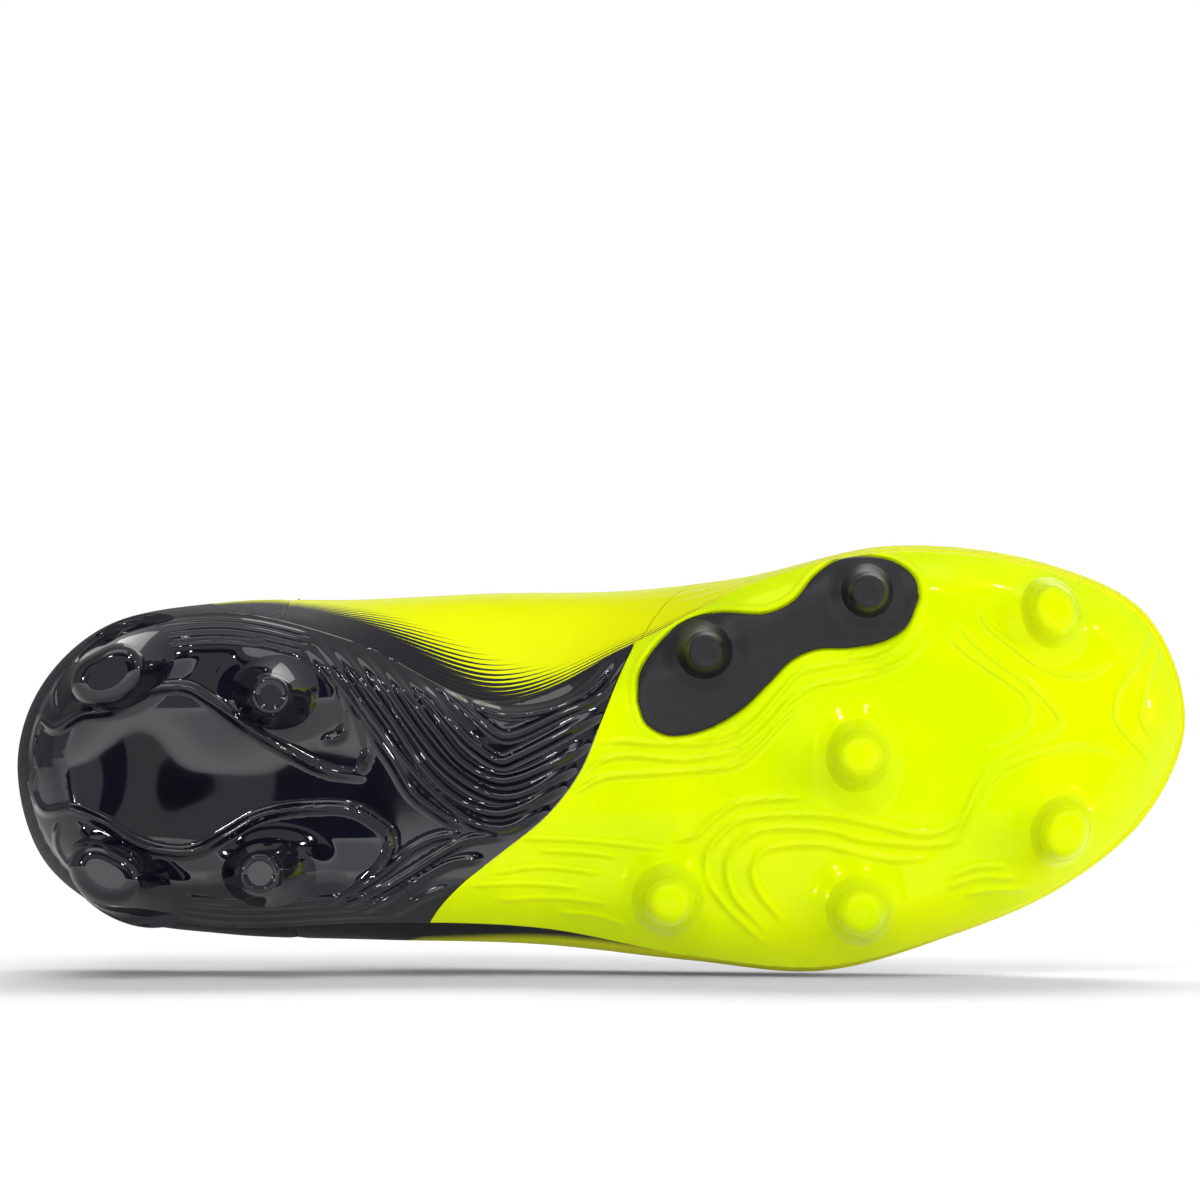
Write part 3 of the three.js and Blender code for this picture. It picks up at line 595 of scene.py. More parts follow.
def upper_skin(name, base):
    """A thin synthetic skin. Dark printed lines thin out from the heel and the sole's edge."""
    f = Finish(name, IOR=1.45, Specular_IOR_Level=0.14, Specular_Tint=(1, 1, 0.6, 1),
               Emission_Strength=LIME_PAINTED_GLOW)
    knot = f.axis(0, uv=True) * KNOTS
    row = f.axis(1, uv=True) * (1 / ROW_LENGTH)
    lateral = 1 - knot.step(TOE - 0.5, TOE + 0.5)
    start, span = PRINT_LATERAL
    near = (knot * (-1 / span) + start / span) * lateral
    start, span = PRINT_MEDIAL
    far = (knot * (1 / span) - start / span) * (1 - lateral)
    heelward = (near + far).math("MAXIMUM", 0.0).math("MINIMUM", 1.2)
    wave = printed_lines(f, row)
    border = heelward * PRINT_RISE + near.step(0.72, 1.0) * WHOLE_WALL + PRINT_ROW
    line = printed_up_to(border, row, wave)
    tint = f.mix(f.noise(30, 3).step(0.3, 0.75), base, tuple(0.95 * c for c in base))
    # Where the print covers the whole wall, the textile is darker between its lines: painted shade of its
    # grooves.
    dark = f.mix(wave.step(0.6, 0.9), TEXTILE, TEXTILE_GROOVE_PAINTED_SHADE)
    f.wire("Base Color", f.mix(line, tint, dark))
    # Painted glow: the unprinted skin gives off a little light in its own colour, the print none.
    f.wire("Emission Color", f.mix(line, base, (0.0, 0.0, 0.0)))
    f.wire("Roughness", f.noise(320, 3) * 0.15 + 0.38)
    # Soft ribs are moulded into the skin low down round the forefoot.
    ribs = ((row + (f.noise(9, 1) - 0.5) * 0.9) * (2 * math.pi / SKIN_RIB_PITCH)).math("SINE") * 0.5 + 0.5
    low = row.step(2.1, 2.6) * (1 - row.step(3.7, 4.7))
    ahead = knot.step(5.6, 7.4) * (1 - knot.step(14.6, 16.4))
    f.bump(ribs * low * ahead, 0.0007, 0.55)
    f.bump(line, 0.00006, 0.6)
    f.bump(f.cells(900), 0.00007, 0.45)
    return f.bump(f.noise(22, 3), 0.0004, 0.25).material


PANEL_PRINT_ROW = 2.72  # above this row the skin's colour runs on over the heel panel
PANEL_PRINT_X = (-0.107, -0.093)  # in metres: it fades in over the first, and out over the second
PANEL_PRINT_Y = (-0.02, -0.015)


def heel_textile():
    """Dark, but the skin's colour runs on over the panel's inner end, above the plate."""
    f = Finish("heel_textile", IOR=1.45, Specular_IOR_Level=0.25)
    row = f.axis(1, uv=True) * (1 / ROW_LENGTH)
    wave = printed_lines(f, row)
    # The grooves between the printed lines are sunk, and painted darker for the shade in them.
    groove_with_painted_shade = wave.step(0.6, 0.9)
    weave = f.cells(1500)
    runs_on = f.axis(0).step(*PANEL_PRINT_X) * (1 - f.axis(1).step(*PANEL_PRINT_Y))
    colour = runs_on * (1 - printed_up_to((1 - runs_on) * WHOLE_WALL + PANEL_PRINT_ROW, row, wave))
    skin = tuple(0.96 * c for c in SKIN)
    f.wire("Base Color", f.mix(colour, f.mix(groove_with_painted_shade, TEXTILE, TEXTILE_GROOVE_PAINTED_SHADE), skin))
    f.wire("Roughness", weave * 0.3 + 0.42)
    f.bump(groove_with_painted_shade * -1 + 1, 0.00018, 0.7)
    return f.bump(weave, 0.00005, 0.5).material


def knit(name, light, dark, wales=1 / 0.0012, courses=1 / 0.0016, uv=True):
    """A knitted cloth of small loops, sized in metres on the piece's own surface."""
    f = Finish(name, Sheen_Weight=0.4, Sheen_Roughness=0.4, IOR=1.4)
    u = f.axis(0, uv) * (wales * 2 * math.pi)
    v = f.axis(1, uv) * (courses * 2 * math.pi)
    loops = (u.math("SINE") * 0.5 + 0.5) * ((v + u.math("SINE") * 1.2).math("SINE") * 0.5 + 0.5)
    f.wire("Base Color", f.mix(loops.step(0.05, 0.7), dark, light))
    f.wire("Roughness", loops * -0.15 + 0.9)
    return f.bump(loops, 0.0003, 0.7).material


def board_fibre(name, light, dark):
    """Pressed fibres that lie along the boot."""
    f = Finish(name, IOR=1.4)
    fibres = f.noise(240, 6, (1, 4, 1))
    f.wire("Base Color", f.mix(fibres.step(0.35, 0.7), dark, light))
    f.wire("Roughness", fibres * 0.1 + 0.85)
    return f.bump(fibres, 0.0001, 0.5).material


def thread():
    """Twisted sewing thread."""
    f = Finish("thread", IOR=1.45)
    twist = (f.axis(0, True) * 9000).math("SINE") * 0.5 + 0.5
    f.wire("Base Color", f.mix(twist, (0.10, 0.12, 0.01), (0.22, 0.27, 0.01)))
    f.wire("Roughness", twist * 0.1 + 0.6)
    return f.bump(twist, 0.00008).material


MATERIALS = {
    "black_moulding": black_moulding(),
    "yellow_moulding": lime_moulding(),
    "grey_moulding": grey_moulding(),
    "yellow_upper": upper_skin("lime_skin", SKIN),
    "yellow_stay": upper_skin("lime_stay", (0.80, 0.90, 0.0)),
    "dark_upper": heel_textile(),
    "stiffener": board_fibre("stiffener", (0.62, 0.57, 0.46), (0.45, 0.40, 0.31)),
    "board": board_fibre("board", (0.66, 0.64, 0.58), (0.42, 0.40, 0.36)),
    "foam": board_fibre("foam", (0.07, 0.07, 0.08), (0.03, 0.03, 0.035)),
    "lining": knit("lining", (0.035, 0.035, 0.042), (0.008, 0.008, 0.010)),
    "binding": knit("binding", (0.03, 0.03, 0.036), (0.006, 0.006, 0.008), 1 / 0.0009, 1 / 0.0014),
    "tongue_cloth": knit("tongue_cloth", (0.05, 0.05, 0.058), (0.012, 0.012, 0.015), 1 / 0.0016, 1 / 0.0020),
    "sock": knit("sock", (0.045, 0.045, 0.052), (0.012, 0.012, 0.014), 1 / 0.0011, 1 / 0.0011, uv=False),
}
THREAD = thread()
CUSHION_CLOTH = knit("cushion_cloth", (0.05, 0.05, 0.058), (0.012, 0.012, 0.015), CUSHION_LOOP, CUSHION_LOOP,
                     uv=False)


def finished(obj, slot, body, *nodes):
    """Gives a piece its finish, its body and the CAD nodes that it stands for."""
    # The bright pieces don't colour the pale floor beside them.
    obj.visible_diffuse = not slot.startswith("yellow")
    obj.data.materials.clear()
    obj.data.materials.append(MATERIALS[slot])
    if body:
        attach(obj, body)
    if nodes:
        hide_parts(*nodes)
    return obj


# ---- Relief of the sole ----
# Ribs as plan lines. Each group has a height and a half-width in millimetres.
HEEL_RIBS = [
    (1.5, 1.8, [
        [(-136, 4), (-137.3, -4), (-135.5, -9.5), (-132, -7.5), (-125, -11), (-118, -12), (-110, -16.5),
         (-100, -17.5), (-95, -15), (-85, -8), (-75, -2), (-66, 2.5), (-58, 4)],
        [(-136, 0), (-137.3, 8), (-134.5, 12.5), (-128, 12), (-120, 15), (-112, 20), (-105, 22),
         (-98, 22), (-90, 18), (-82, 13.5), (-70, 11.5), (-60, 12), (-55, 14.5), (-51, 18), (-51, 22),
         (-53, 26), (-60, 32)],
    ]),
    (1.5, 1.95, [
        [(-32, -15), (-28, -12.5), (-22, -11), (-10, -13), (-2, -18), (3, -24)],
        [(-40, -19), (-36, -16), (-30, -10.5), (-24, -6), (-21, -6), (-10, -11), (0, -16), (7, -26)],
        [(-46, -19), (-41, -15), (-36, -9), (-30, -3), (-24, 0.5), (-21, -0.5), (-10, -6), (-1, -11)],
        [(-52, -22), (-46, -15), (-40, -7), (-33, 1), (-25, 5), (-20, 4.5), (-10, 0), (-4, -4)],
        [(-58, -25), (-52, -18), (-46, -9), (-38, 1), (-30, 7), (-24, 9), (-18, 8), (-7.5, 2)],
        [(-64, -27), (-58, -20), (-50, -9), (-42, 3), (-34, 10), (-26, 13), (-20, 12), (-10, 6.5)],
        [(-69, -29), (-62, -20), (-55, -10), (-46, 2), (-38, 10), (-30, 15.5), (-23, 16.5), (-14.5, 12.5)],
        [(-70, -27), (-64, -20), (-57, -10), (-50, 0), (-45, 8), (-40, 12), (-33, 16.5)],
    ]),
    (1.1, 1.5, [
        [(-34, 18), (-40, 19), (-46, 22), (-52, 27), (-60, 32), (-68, 36)],
        [(-24, 18.5), (-32, 19.5), (-38, 22.5), (-46, 27.5), (-55, 32.5), (-66, 37)],
        [(-30, 24), (-36, 25), (-42, 28), (-50, 33), (-60, 38)],
        [(-37, 31), (-44, 34), (-50, 37.5)],
        [(-64, -22), (-62, -12), (-62.5, -6), (-66, -4.5)],
        [(-60, -18), (-57, -8), (-56, -2), (-58, 3)],
    ]),
    (0.8, 1.2, [
        [(-136.5, -12), (-136, -19), (-130, -28), (-120, -32.5), (-108, -34.5)],
        [(-136.5, 14), (-135, 21), (-130, 28), (-121, 35), (-108, 39)],
        [(-131.5, -11), (-132, -17), (-128, -24), (-119, -29), (-106, -31.5)],
        [(-131, 15), (-131.5, 21), (-127, 28), (-118, 33.5), (-106, 36)],
    ]),
]


def heel_edge_ribs():
    """Fine ribs that flow along both sides of the heel, inside the plate's edge."""
    lines = []
    for inset in (1.6, 3.3, 5.0, 6.7):
        lines.append(inset_edge(np.linspace(18.25, 19.7, 20), inset))
        lines.append(inset_edge(np.linspace(2.6, 4.1, 20), inset))
    return lines


FOREFOOT_RIBS = [
    (0.85, 1.2, [
        [(-1, -4), (5, -4.5), (12, -4), (25, -4), (32, -5.5), (38, -10), (44, -17), (48, -21), (54, -22.5),
         (66, -24.5), (72, -27.5), (78, -34)],
        [(-4, 4), (0, 0.5), (6, -1), (20, 0), (30, -1.5), (35, -3.5), (41, -9), (46, -14.5), (52, -18),
         (60, -19.5), (66, -21), (73, -24), (79, -30)],
        [(-6, 8), (0, 4.5), (8, 3.5), (24, 2.5), (33, 1), (38, -3), (44, -9.5), (50, -14)],
        [(17.5, 19.5), (23, 18), (28, 13.5), (33, 10.5), (40, 9.5), (50, 9)],
        [(41, 45), (36, 41), (30, 35), (26, 29), (25.5, 23), (29, 18), (34, 14.5), (40, 13.5), (55, 13.5),
         (70, 16.5), (78, 18), (83, 17), (87, 14), (90, 8), (93, 3), (98, -1), (104, -4.5), (108, -7)],
        [(40, 42), (38, 39), (33, 34), (30.5, 28), (31, 23), (35, 18.5), (41, 16.5), (55, 17), (62, 19),
         (70, 20), (80, 20.5), (86, 19), (91, 10), (96, 3), (102, 0), (110, -2.5), (115, -3.3), (122, -2.5),
         (127, 0)],
        [(45, 40), (42, 36.5), (38, 31.5), (36.5, 26.5), (38, 23), (42, 21), (54, 20.5), (60, 22), (70, 24),
         (80, 23.5)],
    ]),
    (0.8, 1.1, [
        [(83.5, -31), (87, -27), (93, -22.5), (99, -18.5), (103, -15), (104, -11), (101, -7), (94, -4)],
        [(85, -34), (90, -28.5), (96, -23.5), (103, -18.5), (108, -14), (111, -9), (106, -4.5), (95, 0)],
        [(91.5, -38), (93, -33), (100, -27), (106, -22.5), (112, -20.5), (118, -20.5), (124, -24)],
        [(134, -34), (129, -22), (125, -16), (124.5, -10), (127, -6), (131, -2), (134, 3)],
        [(137, -30), (133, -20), (131, -14), (131, -9), (134, -5), (137, -3)],
        [(85, 28), (90, 26), (98, 25.5)],
        [(84, 31), (90, 28.5), (100, 28.5)],
        [(88, 32.5), (94, 31.5), (103, 31.5)],
    ]),
    (0.55, 1.0, [
        [(-15, 22), (-4, 22.5), (4, 23.5)],
        [(-26, 27.5), (-15, 26), (0, 27.5)],
        [(-31, 30.5), (-18, 30), (-5, 31)],
        [(-25, 34), (-10, 33.5), (2, 35)],
        [(-10, 37), (0, 38), (6, 40)],
        [(-20, 19), (-5, 19.5), (18, 22)],
    ]),
]


RIB_TAPER = 9  # how steeply a rib rises from its ends
RIB_END = 0.12  # the share of its height that it ends with


def rib(d, half_width):
    """A rounded rib's section: 1 on its line, 0 beyond its half-width."""
    share = np.clip(1 - d / half_width, 0, 1)
    return share * share * (3 - 2 * share)


def relief(groups, x, y):
    """How far the sole's pattern stands out towards the ground."""
    height = np.zeros(x.shape)
    for tall, half_width, lines in groups:
        for points in lines:
            line = smooth_line(points, 6) if len(points) < 20 else np.asarray(points)
            low, high = line.min(axis=0) - half_width, line.max(axis=0) + half_width
            near = (x > low[0]) & (x < high[0]) & (y > low[1]) & (y < high[1])
            d, where = distance_to(line, x[near], y[near])
            fade = np.minimum(1, np.minimum(where, 1 - where) * RIB_TAPER + RIB_END)
            height[near] = np.maximum(height[near], tall * rib(d, half_width) * fade)
    return height


PANEL_MIDDLE = 3  # across the heel


def heel_flow(x, y):
    """The heel's smooth panel isn't flat: it bows between its ridges, with slow ripples."""
    off = y - PANEL_MIDDLE
    bow = 0.5 * (off / 15) ** 2
    ripples = 0.16 * np.sin(x / 6.5) * np.cos(off / 7) + 0.10 * np.sin((x + y) / 9)
    return (bow + ripples) * ramp(-x, 48, 62) * ramp(np.abs(off), 24, 14)


FOOT_SWELLING = 1.4


def stud_feet(x, y, bases):
    """A low swelling round each stud, so that it grows out of the plate."""
    height = np.zeros(x.shape)
    for _, _, (cx, cy), (long, wide), turn, _, base in STUDS.values():
        if base in bases:
            dx, dy = turned(x - cx, y - cy, -turn)
            height = np.maximum(height, FOOT_SWELLING * ramp(np.hypot(dx / long, dy / wide), 1.12, 0.55))
    return height


def turned(dx, dy, degrees):
    """A plan offset, turned about the origin."""
    c, s = math.cos(math.radians(degrees)), math.sin(math.radians(degrees))
    return dx * c - dy * s, dx * s + dy * c


def plate_grid(from_share, to_share, rows, columns):
    """Plan points of a plate: shares of the way from heel to toe may differ for each column."""
    column = (1 - np.cos(np.pi * np.linspace(0, 1, columns))) / 2
    column = 0.5 * column + 0.5 * np.linspace(0, 1, columns)
    t = np.linspace(0, 1, rows)[:, None]
    share = from_share(column)[None] * (1 - t) + to_share(column)[None] * t
    lateral = on_outline(PLATE_EDGE, share * TOE)
    medial = on_outline(PLATE_EDGE, KNOTS - share * TOE)
    return medial + (lateral - medial) * column[None, :, None]


def joint_shares(column, shift):
    """Where the joint between the plates crosses each column, as a share of the boot's length."""
    line = smooth_line(JOINT, 12) + (shift, 0)
    shares = np.linspace(0.2, 0.75, 400)
    lateral = on_outline(PLATE_EDGE, shares * TOE)
    medial = on_outline(PLATE_EDGE, KNOTS - shares * TOE)
    found = []
    for t in column:
        p = medial + (lateral - medial) * t
        ahead = p[:, 0] - np.interp(p[:, 1], line[:, 1], line[:, 0])
        found.append(np.interp(0, ahead, shares))
    return np.array(found)


def carrier_edges(count):
    """The soft-stud carrier's two long edges, from its rear end to its front end."""
    at = np.linspace(0, 1, count)
    at = (at + (1 - np.cos(np.pi * at)) / 2) / 2
    return [on_line(side, at * (len(side) - 1)) for side in (CARRIER_OUTER, CARRIER_INNER)]


HEEL_GRID = (313, 184)
FOREFOOT_GRID = (340, 202)
CARRIER_POCKET = 1.3  # how deep the soft-stud carrier is let into the forefoot plate
CARRIER_LIP = 0.35


def plate(name, groups, bases, from_share, to_share, rows, columns):
    """A plate whose underside has ribs, stud feet and, at the forefoot, the carrier's pocket and its lip."""
    plan = plate_grid(from_share, to_share, rows, columns)
    x, y = plan[..., 0], plan[..., 1]
    under = sole_under(x, y)
    stands = relief(groups, x, y) + stud_feet(x, y, bases)
    if "heel" in bases:
        stands = stands + heel_flow(x, y)
    inside, _ = distance_to(EDGE_LINE, x, y, closed=True)
    stands = stands * ramp(inside, 0.0, 1.4)
    if "forefoot" in bases:
        outer, inner = carrier_edges(60)
        outline = np.vstack([outer, inner[::-1]])
        d, _ = distance_to(outline, x, y, closed=True)
        signed = np.where(inside_outline(outline, x, y), d, -d)
        stands = stands * ramp(-signed, 0.2, 2.5)
        stands = stands - CARRIER_POCKET * ramp(signed, -0.7, 0.1)
        stands = stands + CARRIER_LIP * rib(np.abs(signed + 1.5), 1.0)
    front = np.dstack([x, y, under - stands])
    back = np.dstack([x, y, sole_top(x, y)])
    body = slab(name, front, back, step=3)
    shade(body, 50)
    return body


def inside_outline(outline, x, y):
    """True for each plan point that lies inside a closed outline."""
    crossings = np.zeros(x.shape, bool)
    for (ax, ay), (bx, by) in zip(outline, np.roll(outline, -1, axis=0)):
        if ay != by:
            crossings ^= ((ay > y) != (by > y)) & (x < (bx - ax) * (y - ay) / (by - ay) + ax)
    return crossings


# ---- Studs ----
SUNK = 0.9  # how deep a stud's foot, and the carrier, sink into the plate
STUD_SIDES = 64
STUD_RINGS = 17
STUD_BULGE = {"heel": 0.66, "carrier": 0.24, "forefoot": 0.34}  # 1 would be a straight cone
SHOULDER = 1.1  # how much wider than its flat a tip is where it meets its stud
BLADE = 1.25  # a tip that's longer than its width by this is a blade


def oval(centre, half_sizes, turn, dent=0.0):
    """A ring of plan points, with a dent in one long side where a blade's tip is kidney-shaped."""
    angle = np.linspace(0, 2 * np.pi, STUD_SIDES, endpoint=False)
    pinch = 1 - dent * np.exp(-((angle - 1.5 * np.pi) / 0.6) ** 2)
    dx, dy = turned(half_sizes[0] * np.cos(angle), half_sizes[1] * pinch * np.sin(angle), turn)
    return np.column_stack([dx, dy]) + centre


def tip_outline(stud, grow=0.0):
    centre, half_sizes, _, _, turn, _, _ = stud
    dent = 0.14 if half_sizes[0] > BLADE * half_sizes[1] else 0.0
    return oval(centre, np.add(half_sizes, grow), turn, dent)


def rings_solid(name, rings):
    """A closed solid through a stack of rings."""
    obj = piece(name, np.vstack(rings), ring_faces(len(rings), len(rings[0])))
    outward_faces(obj)
    return obj


def stud_body(name, stud):
    """A stud's flared side, from under its tip to its foot, which sinks into the sole."""
    _, _, foot, spread, turn, lift, base = stud
    start = lift + TIP_HEIGHT + GAP
    top = tip_outline(stud, SHOULDER)
    bottom = oval(foot, spread, turn)
    bulge = STUD_BULGE[base]
    rings = []
    for share in np.linspace(0, 1, STUD_RINGS):
        wide = bulge * share + (1 - bulge) * share ** 3
        plan = top + (bottom - top) * wide
        sunk = sole_under(plan[:, 0], plan[:, 1]) + SUNK
        rise = 1 - (1 - share) ** 1.35
        rings.append(np.column_stack([plan, start + (sunk - start) * rise]))
    obj = rings_solid(name, rings)
    shade(obj, 60)
    return obj


# A tip's section from the middle of its flat to its shoulder: growth and height in millimetres.
HARD_TIP = [
    (-1.7, 0.3), (-1.4, 0.3), (-1.1, 0.0), (-0.4, 0.0), (-0.1, 0.12), (0.12, 0.4), (0.35, 1.2), (0.68, 2.3)]
SOFT_TIP = [(-3.2, 0.0), (-2.2, 0.05), (-1.3, 0.25), (-0.6, 0.6), (0.0, 1.15), (0.4, 1.8), (0.8, 2.6)]


def stud_tip(name, stud):
    """The separately moulded end of a stud."""
    half_sizes, lift, base = stud[1], stud[5], stud[6]
    blade = half_sizes[0] > BLADE * half_sizes[1]
    section = SOFT_TIP if blade or base == "forefoot" else HARD_TIP
    rings = [np.column_stack([tip_outline(stud, grow), np.full(STUD_SIDES, lift + z)])
             for grow, z in section + [(SHOULDER - 0.05, TIP_HEIGHT)]]
    obj = rings_solid(name + "_moulded", rings)
    shade(obj, 55)
    slots = {"heel": "black_moulding", "carrier": "grey_moulding", "forefoot": "yellow_moulding"}
    return finished(obj, slots[base], "boot", name)


def studs_on(base):
    return [stud_body("body_" + key, stud) for key, stud in STUDS.items() if stud[6] == base]


def build_sole():
    heel_groups = HEEL_RIBS + [(0.6, 0.85, heel_edge_ribs())]

    def zero(column):
        return np.zeros(len(column))

    def one(column):
        return np.ones(len(column))

    def rear_side(column):
        return joint_shares(column, -GAP / 2)

    def front_side(column):
        return joint_shares(column, GAP / 2)
    heel = plate("heel_shell", heel_groups, ("heel",), zero, rear_side, *HEEL_GRID)
    heel = joined("heel_plate_ribbed", [heel] + studs_on("heel"))
    finished(heel, "black_moulding", "boot", "heel_plate")
    fore = plate("fore_shell", FOREFOOT_RIBS, ("forefoot",), front_side, one, *FOREFOOT_GRID)
    fore = joined("forefoot_plate_ribbed", [fore] + studs_on("forefoot"))
    finished(fore, "yellow_moulding", "boot", "forefoot_plate")
    build_carrier()
    for key, stud in STUDS.items():
        stud_tip("stud_tip_" + key, stud)


def build_carrier():
    """The soft-stud carrier: a dog-bone plate with a rounded edge."""
    outer, inner = carrier_edges(150)
    across = np.linspace(0, 1, 61)[None, :, None]
    plan = outer[:, None] * (1 - across) + inner[:, None] * across
    x, y = plan[..., 0], plan[..., 1]
    d, _ = distance_to(np.vstack([outer, inner[::-1]]), x, y, closed=True)
    rise = 0.45 * np.sqrt(np.clip(d / 1.6, 0, 1)) + stud_feet(x, y, ("carrier",)) * ramp(d, 0, 3)
    front = np.dstack([x, y, sole_under(x, y) - rise])
    back = np.dstack([x, y, sole_under(x, y) + SUNK])
    shell = slab("carrier_shell", front, back, step=1)
    shade(shell, 60)
    carrier = joined("stud_carrier_moulded", [shell] + studs_on("carrier"))
    finished(carrier, "grey_moulding", "boot", "stud_carrier")


# ---- Upper ----
HEEL_SEAM = 3.5
LINING_SEAM = 5
COLLAR_END = 4.5  # the knot where the padded collar ends
STAY_KNOTS = (5, 10.5)
SEAM_KNOTS = 0.003
KNOT_SPAN = 38  # about how many millimetres one knot spans, for the rounding of edges
ROW_SPAN = 14
EDGE_ROUNDING = 0.14  # share of a layer's thickness that its rounded edge loses on each side
ROUNDED_OVER = 0.6
EYELET_KNOTS = np.linspace(5.45, 9.75, 6)
EYELET_ROW = [5.68]
STAY_ROWS = (5.4, 5.9)
LINING_ROWS = (2.32, 5.93)
INNER = UPPER + GAP  # how deep the layers behind the outer one start


def both_sides(low, high):
    """A span of knots on the lateral side, and the same one on the medial side."""
    return (low, high), (KNOTS - high, KNOTS - low)


def layer(name, knots, rows, depth_out, depth_in, per_knot=26, per_row=22, step=1):
    """A layer of the upper, with its surface lengths as its UV map."""
    def count(span, rate):
        return max(2, math.ceil(span * rate / step)) * step + 1
    ks = np.linspace(knots[0] + SEAM_KNOTS, knots[1] - SEAM_KNOTS, count(knots[1] - knots[0], per_knot))
    rs = np.linspace(rows[0], rows[1], count(rows[1] - rows[0], per_row))
    kk, rr = np.meshgrid(ks, rs, indexing="ij")
    deep = [d(kk, rr) if callable(d) else np.full(kk.shape, float(d)) for d in (depth_out, depth_in)]
    from_ends = np.minimum(kk - ks[0], ks[-1] - kk) * KNOT_SPAN
    from_sides = np.minimum(rr - rs[0], rs[-1] - rr) * ROW_SPAN
    edge = np.minimum(from_ends, from_sides)
    rounding = EDGE_ROUNDING * (deep[1] - deep[0]) * np.clip(1 - edge / ROUNDED_OVER, 0, 1) ** 2
    front = within(ks, rs, deep[0] + rounding)
    back = within(ks, rs, deep[1] - rounding)
    obj = slab(name, front, back, np.dstack([np.mod(kk, KNOTS) / KNOTS, rr * ROW_LENGTH]), step)
    shade(obj, 50)
    return obj


def padding(k, row):
    """How much the collar's foam thickens, most at the middle of its height, nothing at its ends."""
    k = np.mod(k, KNOTS)
    ends = np.clip((COLLAR_END - np.minimum(k, KNOTS - k)) / 1.5, 0, 1)
    hump = np.sin(np.pi * np.clip((row - 4) / 2.2, 0, 1))
    return COLLAR_PADDING * ends * hump


def eyelet_bars():
    """Round bars through the eyestays, to cut their holes with."""
    bars = []
    for k in EYELET_KNOTS:
        for knot in (k, KNOTS - k):
            deep = within([knot], EYELET_ROW, 8)[0, 0]
            high = within([knot], EYELET_ROW, -4)[0, 0]
            bars.append(tube("bar", np.linspace(deep, high, 2), EYELET, 20))
    return joined("eyelet_bars", bars)


VAMP_SEAM_FOOT = (0, 0, 15)


def split_upper(whole, keep):
    """A copy of the upper on one side of the slanting seam between vamp and quarters: 1 front, -1 back."""
    obj = whole.copy()
    obj.data = whole.data.copy()
    bpy.context.collection.objects.link(obj)
    only(obj)
    bpy.ops.object.mode_set(mode="EDIT")
    bpy.ops.mesh.select_all(action="SELECT")
    middle = np.array(VAMP_SEAM_FOOT) * MM
    normal = np.array((57, 0, -45)) / math.hypot(57, 45)
    bpy.ops.mesh.bisect(plane_co=middle + normal * keep * GAP * MM / 2, plane_no=normal, use_fill=True,
                        clear_inner=keep > 0, clear_outer=keep < 0)
    bpy.ops.object.mode_set(mode="OBJECT")
    return obj


def build_upper():
    bars = eyelet_bars()
    whole = layer("whole", (HEEL_SEAM, KNOTS - HEEL_SEAM), (0, TOP_ROW), 0, UPPER, 15, 18)
    vamp = split_upper(whole, 1)
    sides = split_upper(whole, -1)
    bpy.data.objects.remove(whole)
    only(sides)
    bpy.ops.object.mode_set(mode="EDIT")
    bpy.ops.mesh.separate(type="LOOSE")
    bpy.ops.object.mode_set(mode="OBJECT")
    halves = [o for o in bpy.context.selected_objects if len(o.data.vertices) > 200]

    def outwardness(half):
        return sum(v.co.y for v in half.data.vertices) / len(half.data.vertices)
    halves.sort(key=outwardness)
    for obj, name, node in ((vamp, "vamp_skin", "vamp"), (halves[0], "medial_quarter_skin", "medial_quarter"),
                            (halves[-1], "lateral_quarter_skin", "lateral_quarter")):
        obj.name = name
        cut(obj, bars)
        shade(obj, 50)
        finished(obj, "yellow_upper", "boot", node)
    panel = layer("heel_panel_textile", (-HEEL_SEAM, HEEL_SEAM), (0, TOP_ROW), 0, UPPER, 20, 18)
    finished(panel, "dark_upper", "boot", "heel_panel")
    for name, knots in zip(("eyestay_lateral", "eyestay_medial"), both_sides(*STAY_KNOTS)):
        stay = layer(name + "_skin", knots, STAY_ROWS, -OVERLAY_GAP - OVERLAY, -0.05, 24, 60)
        cut(stay, bars)
        shade(stay, 40)
        finished(stay, "yellow_stay", "boot", name)
    counter = layer("heel_counter_shell", (-4, 4), (2.25, 4), INNER, INNER + COUNTER, 10, 10)
    finished(counter, "stiffener", "boot", "heel_counter")
    puff = layer("toe_puff_shell", (8.5, 13.5), (2.25, 4.5), INNER, INNER + COUNTER, 10, 10)
    finished(puff, "stiffener", "boot", "toe_puff")
    build_linings(bars)
    bpy.data.objects.remove(bars)


def build_linings(bars):
    """The collar's foam, and the two linings that follow its swelling."""
    def behind_foam(deep):
        return lambda k, row: deep + padding(k, row)
    foam = layer("collar_foam_soft", (-COLLAR_END, COLLAR_END), (4.5, 5.9), INNER,
                 behind_foam(INNER + COUNTER), 12, 16)
    finished(foam, "foam", "boot", "collar_foam")
    deep = INNER + COUNTER + GAP
    faces = behind_foam(deep), behind_foam(deep + LINING)
    heel = layer("heel_lining_knit", (-LINING_SEAM, LINING_SEAM), LINING_ROWS, *faces, 14, 20)
    finished(heel, "lining", "boot", "heel_lining")
    front = layer("vamp_lining_knit", (LINING_SEAM, KNOTS - LINING_SEAM), LINING_ROWS, *faces, 14, 20)
    cut(front, bars)
    shade(front, 50)
    finished(front, "lining", "boot", "vamp_lining")


def build_binding():
    """A rolled cord of knit over the collar's edge."""
    middle = (UPPER + UPPER + GAP + COUNTER + GAP) / 2
    ks = np.linspace(-4.7, 4.7, 150)
    rise = unit((skin_grid(ks, [6.0]) - skin_grid(ks, [5.9]))[:, 0])
    path = within(ks, [6.0], middle)[:, 0] + rise * (BINDING * 0.85)
    obj = tube("collar_binding_rib", path, BINDING * 1.35, 20)
    shade(obj, 60)
    finished(obj, "binding", "boot", "collar_binding")


